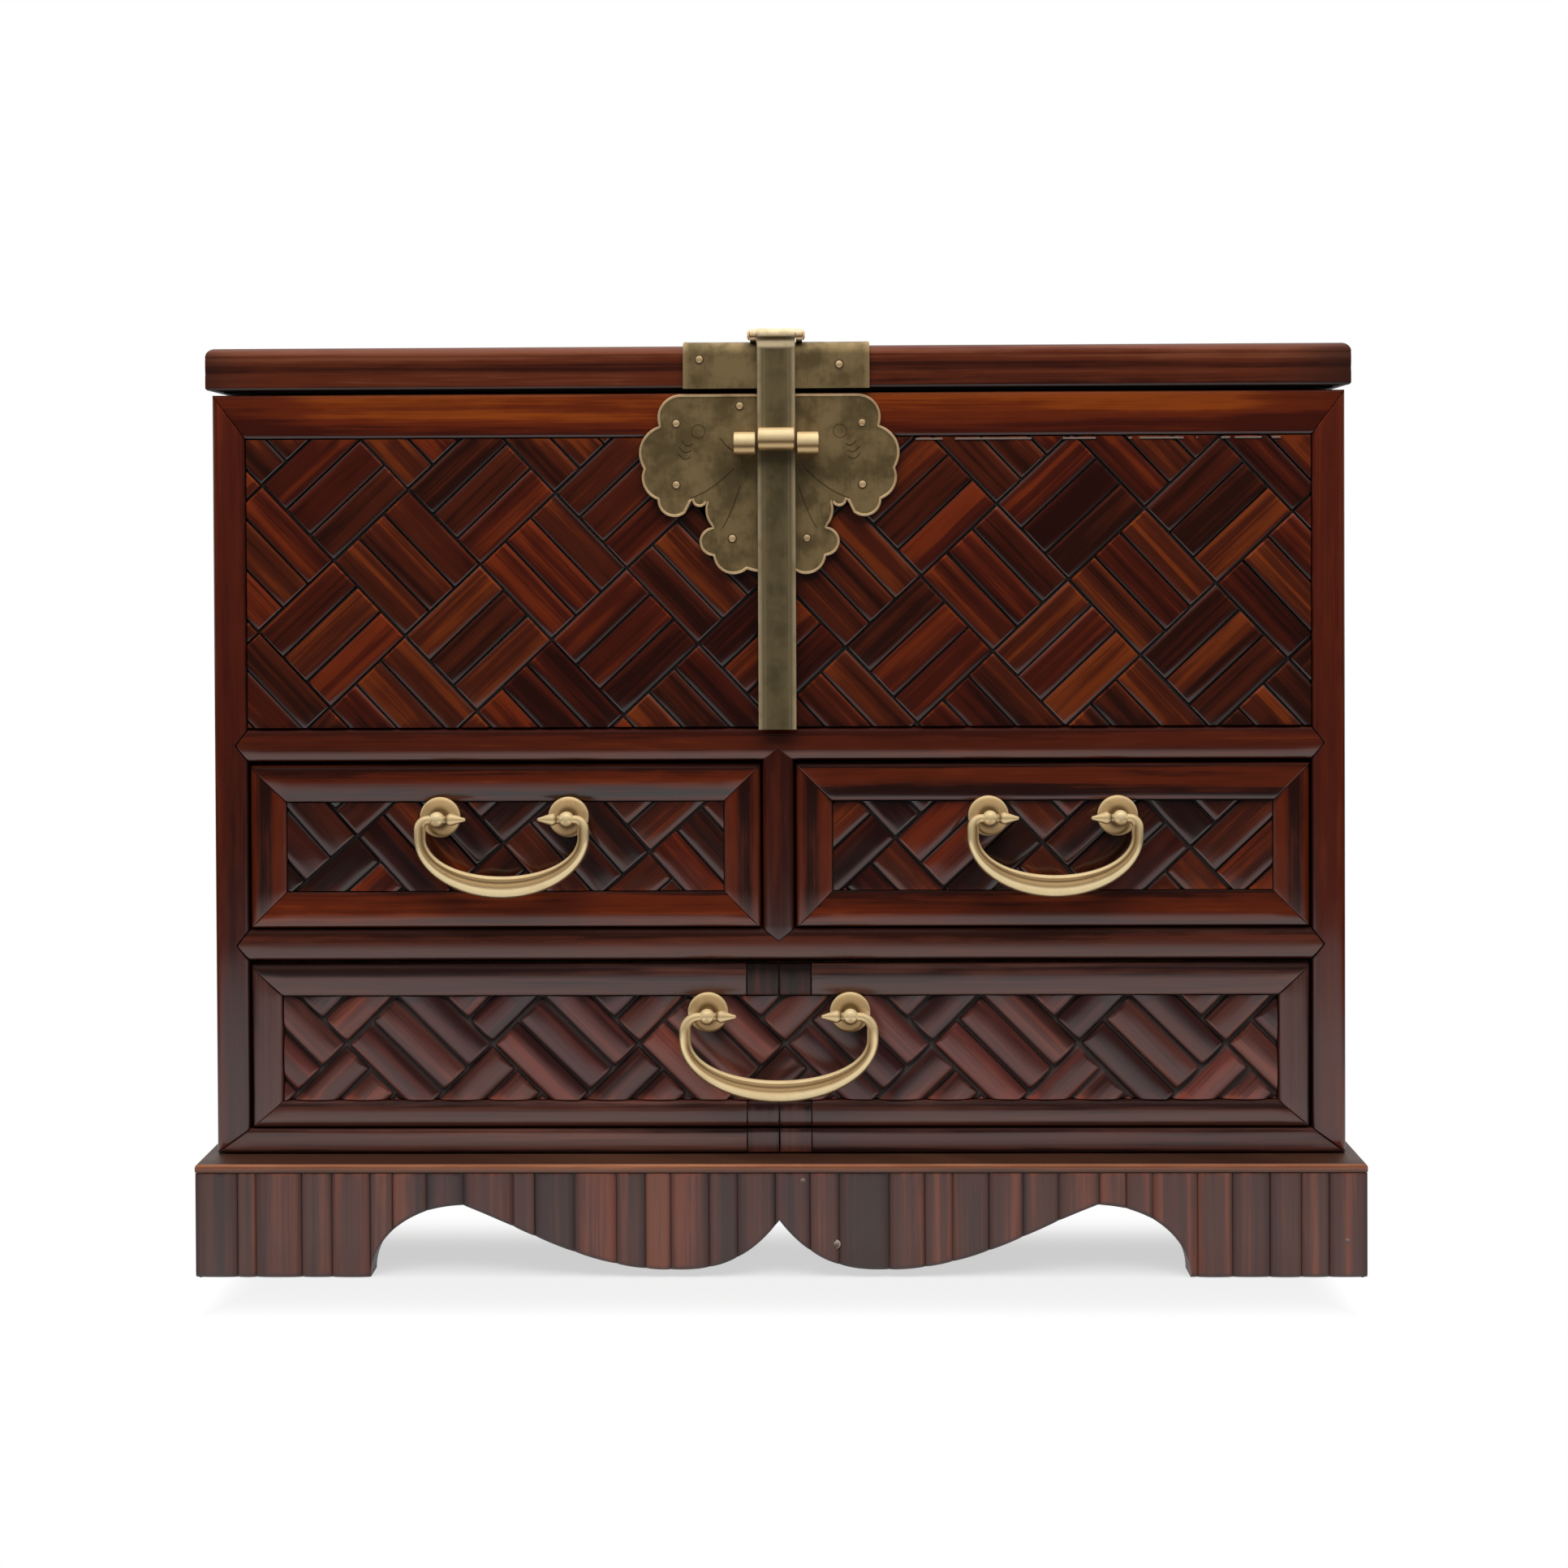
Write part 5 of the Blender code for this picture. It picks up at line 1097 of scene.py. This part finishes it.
def pullBail(name, s, common, body):
    # a round finial and end through the eye, a shoulder, then half an ellipse; the section is an ellipse
    # that swells towards the foot, with a ridge along its front
    low, high = edges(name)
    x, eye, shoulder = (low[0] + high[0]) / 2, s["spacing"] / 2, s["shoulder"]
    tip, cone, endRadius, sideRadius = [common[k] for k in ("tip", "cone", "endRadius", "sideRadius")]
    ends = common["eye"] + common["eyePlay"]
    tipX, coneX = eye - common["finial"], eye - ends - cone
    finialX = np.concatenate([[tipX, tipX + 0.00012, tipX + 0.0004], np.linspace(tipX + 0.0012, coneX, 7),
                              coneX + np.array([0.0006, 0.0012, 0.0016]), [eye - ends, eye]])
    taper = tip + (cone - tip) * np.linspace(0.1, 1, 7) ** 0.85
    finialR = np.concatenate([[0.00005, tip * 0.6, tip], taper, [cone * 0.96, cone * 0.82], [endRadius] * 3])
    zero = 0 * finialX
    # rows along half the bail: across, down, lean, radius in its plane, radius in depth, ridge
    finial = np.stack([finialX, zero, zero, finialR, finialR, zero])
    t = np.linspace(0, pi / 2, 8)[:-1]
    round = endRadius + (sideRadius - endRadius) * t / (pi / 2)
    bend = np.stack([eye + ends + shoulder * np.sin(t), shoulder * (np.cos(t) - 1), -t, round, round, 0 * t])
    bendShare = t / (pi / 2)
    wide = eye + ends + shoulder
    straight = np.array([[wide], [-shoulder], [-pi / 2], [sideRadius], [sideRadius], [0]])
    start = shoulder + common["side"]
    deep = s["drop"] - common["footRadius"] - start
    t = np.linspace(0, pi / 2, 30)
    swell = np.sin(t)
    sweep = np.stack([wide * np.cos(t), -start - deep * swell, np.arctan2(-deep * np.cos(t), -wide * swell),
                      sideRadius + (common["footRadius"] - sideRadius) * swell ** 2,
                      sideRadius + (common["footDepth"] - sideRadius) * swell, swell])
    half = np.hstack([finial, bend, straight, sweep])
    signs = np.array([-1, 1, -1, 1, 1, 1])[:, None]
    px, pz, lean, r, d, ridge = np.hstack([half, signs * half[:, -2::-1]])
    px[len(px) // 2] = 0
    a = np.linspace(0, 2 * pi, common["bailSides"], endpoint=False)
    c = np.cos(a)
    # crescent: a fine lip along the inner edge, a hollow below it, then the full belly
    lip = 0.10 * np.exp(-((c + 0.80) / 0.12) ** 2) - 0.26 * np.exp(-((c + 0.45) / 0.17) ** 2)
    shape = np.sin(a) * (1 + ridge[:, None] * lip * (np.sin(a) < 0))
    off = r[:, None] * c
    postLow, postHigh = edges(name.replace("_pull_bail", "_pull_left_post"))
    axisZ, eyeLine = (postLow[2] + postHigh[2]) / 2, postLow[1] + common["eye"]
    points = np.stack([x + px[:, None] - np.sin(lean)[:, None] * off, eyeLine + d[:, None] * shape,
                       axisZ + pz[:, None] + np.cos(lean)[:, None] * off], -1)
    mirror = lambda f: np.concatenate([f, f[-2::-1]])[:, None]
    bow = mirror(np.concatenate([zero, bendShare, [1], 1 + 0 * swell]))
    neck = mirror(np.concatenate([np.exp(-((finialX - eye + ends + 0.0004) / 0.0005) ** 2), 0 * bendShare, [0],
                                  0 * swell]))
    # painted highlights on the lip and the belly; darker in the hollow under the lip, patina with painted shade, and
    # painted shade along the outer edge and where the finial meets the eye
    paintedHighlight = np.exp(-((c + 0.90) / 0.10) ** 2) + np.clip((c + 0.05) / 0.25, 0, 1) * np.clip((0.90 - c) / 0.16, 0, 1)
    dirtAndShade = 0.75 * np.exp(-((c + 0.48) / 0.22) ** 2) + 0.45 * np.clip((c - 0.86) / 0.10, 0, 1)
    part = skin(points, wrapCols=True, caps=True, rim=bow * paintedHighlight + (1 - bow) * 0.55,
                tone=0.5 + 0.5 * np.clip(bow * dirtAndShade + neck, 0, 1))
    makePiece(name + "_bow", [part], ["pull"], body, [name], crease=50)


for key in ("left", "right", "long"):
    for side in ("left", "right"):
        pullPost(f"{key}_pull_{side}_post", pullSet, key + "_drawer")
    pullBail(key + "_pull_bail", pullSet[key], pullSet, key + "_bail")
print("pulls ready")


plateSet = {
    # right half: ends of the lobes in mm from the middle of the top edge (across, down) and how far each bulges
    "start": (28.6, 0.0),
    "lobes": ((36.1, 10.4, 3.4), (41.2, 24.4, 3.7), (36.7, 34.5, 2.4), (27.5, 38.9, 3.3), (25.4, 34.7, 0.0),
              (20.3, 34.7, 2.3), (18.7, 43.5, 1.4), (18.5, 53.1, 4.4), (7.4, 57.4, 3.6), (0.0, 58.2, 0.5)),
    "rivets": ((30.4, 9.6), (-30.4, 9.6), (30.5, 29.7), (-30.5, 29.7), (12.2, 47.3), (-12.2, 47.3), (-9.6, 3.9)),
    "veins": (((11.5, 24.3), (26.0, 34.2)), ((25.0, 16.2), (28.6, 15.2)), ((25.6, 18.4), (29.6, 17.2)),
              ((26.0, 20.6), (29.8, 19.4)), ((9.5, 30.0), (15.5, 44.0)), ((16.0, 14.5), (9.5, 19.0))),
    "veinBow": 1.2, "veinWidth": 0.00034, "eyes": ((23.2, 12.2, 2.2),), "eyeWidth": 0.00022,
    "thick": 0.0012, "below": 0.0006, "rim": 0.0010, "rimRise": 0.00035, "rivet": 0.0012,
    "loops": (-0.0103, 0.0103), "loopForward": 0.0037, "loopDown": 0.0171, "loopHalf": 0.0035, "loopFoot": 0.0030,
}
# a loop is a tube on a foot that runs back into the sheet
loopSet = {"outer": 0.0038, "bore": 0.0019, "footFrom": 0.0022, "footInto": 0.0004, "footHigh": 0.0024}


def sheetLoop(x, y, z, half, footHalf, face, paint, s=loopSet):
    return [tube((x, y, z), half, s["outer"], s["bore"], paint=paint),
            block((x - footHalf, y + s["footFrom"], z - s["footHigh"]),
                  (x + footHalf, face + s["footInto"], z + s["footHigh"]), paint=1)]


def lobeLine(a, b, bulge, steps=12):
    # points past a up to b on the arc of that height over the chord
    a, b = np.array(a), np.array(b)
    t = np.linspace(0, 1, steps + 1)[1:, None]
    if not bulge:
        return a + (b - a) * t
    chord = np.hypot(*(b - a))
    radius = (chord ** 2 / 4 + bulge ** 2) / (2 * bulge)
    out = np.array([b[1] - a[1], -(b[0] - a[0])]) / chord
    centre = (a + b) / 2 + out * (bulge - radius)
    first, last = [np.arctan2(*(p - centre)[::-1]) for p in (a, b)]
    turn = first + ((last - first) % (2 * pi)) * t
    return centre + radius * np.hstack([np.cos(turn), np.sin(turn)])


def inwards(line, dist):
    # closed outline moved along its inward normals
    ahead = np.roll(line, -1, 0) - np.roll(line, 1, 0)
    normal = np.stack([ahead[:, 1], -ahead[:, 0]], -1)
    normal /= np.linalg.norm(normal, axis=1)[:, None] + 1e-12
    area = np.sum(line[:, 0] * np.roll(line[:, 1], -1) - np.roll(line[:, 0], -1) * line[:, 1])
    return line - normal * dist * np.sign(area)


def engraveLine(path, face, width, sunk=0.0002, proud=0.00004, **look):
    # a thin chased line that lies on the face
    path = np.asarray(path, float)
    ahead = np.gradient(path, axis=0)
    side = np.stack([-ahead[:, 1], ahead[:, 0]], -1) / np.linalg.norm(ahead, axis=1)[:, None] * width / 2
    rows = [(path - side, sunk), (path - side, -proud), (path + side, -proud), (path + side, sunk)]
    points = np.stack([np.insert(p, 1, face + y, axis=1) for p, y in rows], 1)
    return skin(points, wrapCols=True, caps=True, **look)


def bentSheet(path, normal, thick, half, border, rise, rubbed=0.0, dirtAndShade=0.0, lines=0.0, **look):
    # a sheet carried along path (y, z), with raised borders along both sides; the rubbing with its painted
    # highlights, and the painted shade, run with the path
    t = np.array([-1, -0.985, -0.93, -0.88, -0.82, -0.70, -0.64, -0.58, -0.3])
    t = np.concatenate([t, [0], -t[::-1]])
    x = t * half
    lift = rise * np.exp(-(((np.abs(x) - (half - border)) / (border * 0.8)) ** 2)) - 0.00025 * (np.abs(t) > 0.99)
    outer = np.stack([x + 0 * path[:, :1], path[:, :1] + normal[:, :1] * lift,
                      path[:, 1:] + normal[:, 1:] * lift], -1)
    under = path - normal * thick
    inner = np.stack([x[::-1] + 0 * path[:, :1], under[:, :1] + 0 * x, under[:, 1:] + 0 * x], -1)
    edge = 0.42 * np.clip((np.abs(x) - half + 2.4 * border) / (1.4 * border), 0, 1)
    edge = edge + lines * np.exp(-((np.abs(t) - 0.64) / 0.05) ** 2)
    column = lambda v: np.broadcast_to(np.asarray(v, float).reshape(-1, 1), (len(path), 1))
    rim = np.hstack([np.maximum(edge, column(rubbed)), 0 * x + column(rubbed)])
    return skin(np.concatenate([outer, inner], 1), wrapCols=True, caps=True, rim=rim,
                tone=0.5 + 0.5 * np.repeat(column(dirtAndShade), 2 * t.size, 1), **look)


def lockPlate(s):
    # the scalloped outline, mirrored, with a raised rim of seven rows; rivets, chased lines and two loops on it
    low, high = edges("lock_plate")
    railTop = rails["top"][1][2]
    top = railTop - s["below"]
    back, shift = float(high[1]), (low[0] + high[0]) / 2
    face = back - s["thick"]
    onPlate = lambda across, down: np.stack([shift + across / 1000, top - down / 1000], -1)
    corners = [s["start"]] + [lobe[:2] for lobe in s["lobes"]]
    arcs = [lobeLine(a, b, lobe[2]) for a, b, lobe in zip(corners, corners[1:], s["lobes"])]
    half = np.vstack([[s["start"]]] + arcs)
    half = half[half[:, 0] > 1e-6]
    edge = s["start"][0]
    topEdge = np.stack([np.linspace(-edge, edge, 14)[1:-1], np.zeros(12)], -1)
    line = onPlate(*np.vstack([half, [corners[-1]], half[::-1] * (-1, 1), topEdge]).T)
    w, up = s["rim"], s["rimRise"]
    rows = [(0, back), (0, face + 0.0002), (0.08 * w, face - 0.6 * up), (0.3 * w, face - up), (0.6 * w, face - up),
            (0.85 * w, face - 0.5 * up), (w, face)]
    points = np.stack([np.insert(inwards(line, d), 1, y, axis=1) for d, y in rows])
    parts = [skin(points[:6], wrapCols=True, paint=1), skin(points[5:], wrapCols=True, paint=0)]
    parts += [makePart(points[k], np.empty((0, 4), int), [np.arange(len(line))]) for k in (0, -1)]
    parts += [rivet(*onPlate(x, z), face, s["rivet"], paint=1) for x, z in s["rivets"]]
    for side in (-1, 1):
        for a, b in s["veins"]:
            t = np.linspace(0, 1, 12)[:, None]
            path = np.array(a) + (np.array(b) - np.array(a)) * t + np.array([0.0, s["veinBow"]]) * np.sin(pi * t)
            parts.append(engraveLine(onPlate(side * path[:, 0], path[:, 1]), face, s["veinWidth"], paint=2))
        for x, z, r in s["eyes"]:
            t = np.linspace(0, 2 * pi, 25)
            path = onPlate(side * (x + r * np.cos(t)), z + r * np.sin(t))
            parts.append(engraveLine(path, face, s["eyeWidth"], paint=2))
    loopY, loopZ = low[1] + s["loopForward"], railTop - s["loopDown"]
    for x in s["loops"]:
        parts += sheetLoop(x, loopY, loopZ, s["loopHalf"], s["loopFoot"], face, 3)
    makePiece("lock_plate_chased", parts, ["plate", "rim", "engraved", "pull"], "case", ["lock_plate"])
    return loopY, loopZ


haspSet = {
    "sheet": 0.0012, "half": 0.0062, "bore": 0.00105, "border": 0.0007, "strapRise": 0.0002, "strapLines": 0.16,
    "loopUp": 0.0014, "loopPlay": 0.0003, "loopFoot": 0.0052,
    "bracketSheet": 0.0010, "bracketRound": 0.0032, "bracketGap": 0.0003, "bracketBack": 0.020,
    "bracketRise": 0.00012, "ear": 0.002, "rivets": ((-0.0251, 0.0098), (0.0206, 0.0080)), "rivet": 0.0012,
    # along the pin from its end, and radius
    "pin": ((0.0, 0.0002), (0.0, 0.0008), (0.0003, 0.0014), (0.0006, 0.0017), (0.0008, 0.0017), (0.0008, 0.0009)),
}


def runUp(y, z):
    # path and normals of a run up the front at depth y
    return np.stack([0 * z + y, z], -1), np.stack([0 * z - 1, 0 * z], -1)


def roll(y, z, r, a):
    # path and normals round a centre
    normal = np.stack([np.cos(a), np.sin(a)], -1)
    return (y, z) + r * normal, normal


def haspStrap(s, axisY, axisZ, loopY, loopZ):
    # up its front, then rolled round the pin
    outer = s["bore"] + s["sheet"]
    face, bend, bottom = axisY - outer, axisZ - 0.005, edges("hasp_strap")[0][2]
    z = np.concatenate([np.linspace(bottom, bend, 40), np.linspace(bend, axisZ, 14)[1:]])
    a = np.radians(np.linspace(180, -70, 31))[1:]
    path, normal = [np.vstack(rows) for rows in zip(runUp(face, z), roll(axisY, axisZ, outer, a))]
    # painted highlights on the upper part of the roll and in a pale band on the strap just below it, painted shade in
    # a dark band between them
    rise = (path[:, 1] - axisZ) / outer
    rubbed = np.clip((rise + 0.30) / 0.3, 0, 1) + 0.95 * np.exp(-((rise + 1.35) / 0.50) ** 4)
    dirtAndShade = 0.95 * np.exp(-((rise + 0.48) / 0.22) ** 2)
    parts = [bentSheet(path, normal, s["sheet"], s["half"], s["border"], s["strapRise"], rubbed, dirtAndShade,
                       s["strapLines"])]
    parts += sheetLoop(0, loopY, loopZ + s["loopUp"], s["half"] - s["loopPlay"], s["loopFoot"], face, 1)
    makePiece("hasp_strap_rolled", parts, ["strap", "pull"], "hasp", ["hasp_strap"], crease=45)


def haspBracket(s, axisY, axisZ):
    # up the lid's nose and back along its top, with two ears for the pin
    lidLow, lidHigh = edges("lid_front_edge")
    r, gap = s["bracketRound"], s["bracketGap"]
    cy, cz = lidLow[1] + r, lidHigh[2] - r
    far = r + gap + s["bracketSheet"]
    z = np.linspace(lidLow[2] + gap, cz, 8)[:-1]
    y = np.linspace(cy, lidLow[1] + s["bracketBack"], 8)[1:]
    overTop = np.stack([y, 0 * y + cz + far], -1), np.stack([0 * y, 0 * y + 1], -1)
    runs = runUp(cy - far, z), roll(cy, cz, far, np.radians(np.linspace(180, 90, 13))), overTop
    path, normal = [np.vstack(rows) for rows in zip(*runs)]
    parts = [bentSheet(path, normal, s["bracketSheet"], edges("hasp_bracket")[1][0], s["border"], s["bracketRise"])]
    parts += [rivet(x, lidLow[2] + up, cy - far, s["rivet"], paint=1) for x, up in s["rivets"]]
    ear, thick = s["half"] + gap, s["ear"]
    for side in (-1, 1):
        parts.append(tube((side * (ear + thick / 2), axisY, axisZ), thick / 2, s["bore"] + s["bracketSheet"],
                          s["bore"], 0.0002, paint=1))
        x0, x1 = sorted((side * ear, side * (ear + thick)))
        parts.append(block((x0, axisY + 0.0012, cz + far - 0.0003), (x1, axisY + 0.010, axisZ - 0.0004), paint=0))
    makePiece("hasp_bracket_bent", parts, ["plate", "rim"], "lid", ["hasp_bracket"], crease=45)


def hasp(s, loopY, loopZ):
    pinLow, pinHigh = edges("hasp_pin")
    axisY, axisZ = (pinLow[1] + pinHigh[1]) / 2, (pinLow[2] + pinHigh[2]) / 2
    haspStrap(s, axisY, axisZ, loopY, loopZ)
    haspBracket(s, axisY, axisZ)
    tip = float(pinHigh[0])
    rows = [(-tip + d, r) for d, r in s["pin"]]
    rows += [(-x, r) for x, r in reversed(rows)]
    pin = revolve("x", (0, axisY, axisZ), rows, sides=28)
    makePiece("hasp_pin_turned", [pin], ["pull"], "lid", ["hasp_pin"])


hasp(haspSet, *lockPlate(plateSet))
print("hasp and lock plate ready")


def softenedCopy(node, paint, body, bevel=0.00025):
    # a hinge's own form, welded, smoothed and softened at its edges
    mesh = nodes[node].data.copy()
    mesh.name = node + "_soft"
    bm = bmesh.new()
    bm.from_mesh(mesh)
    bmesh.ops.remove_doubles(bm, verts=bm.verts, dist=weldDistance)
    bmesh.ops.dissolve_limit(bm, angle_limit=radians(1), verts=bm.verts, edges=bm.edges)
    bm.to_mesh(mesh)
    bm.free()
    mesh.materials.clear()
    mesh.materials.append(finishes[paint])
    mesh.shade_smooth()
    mesh.set_sharp_from_angle(angle=radians(40))
    piece = addObject(node + "_soft", mesh)
    edge = piece.modifiers.new("edge", "BEVEL")
    edge.width, edge.segments, edge.limit_method, edge.angle_limit = bevel, 2, "ANGLE", radians(50)
    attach(piece, body)
    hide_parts(node)


for side in ("left", "right"):
    softenedCopy(side + "_hinge_body_leaf", "plate", "case")
    softenedCopy(side + "_hinge_lid_leaf", "plate", "lid")
    softenedCopy(side + "_hinge_pin", "rim", "case", bevel=0.0001)
print("hinges ready")

# boards that keep their own form
boardPaint = {
    "backWood": ("back_board", "left_side_board", "right_side_board"),
    "caseWood": ("lid_board", "bottom_board", "front_board", "compartment_floor", "drawer_shelf", "drawer_partition"),
    "drawerWood": tuple(f"{key}_drawer_{piece}" for key in ("left", "right", "long") for piece in ("box", "bottom")),
}
for paint, boards in boardPaint.items():
    for node in boards:
        for materialSlot in nodes[node].material_slots:
            materialSlot.material = finishes[paint]
print("boards finished", sum(map(len, boardPaint.values())))
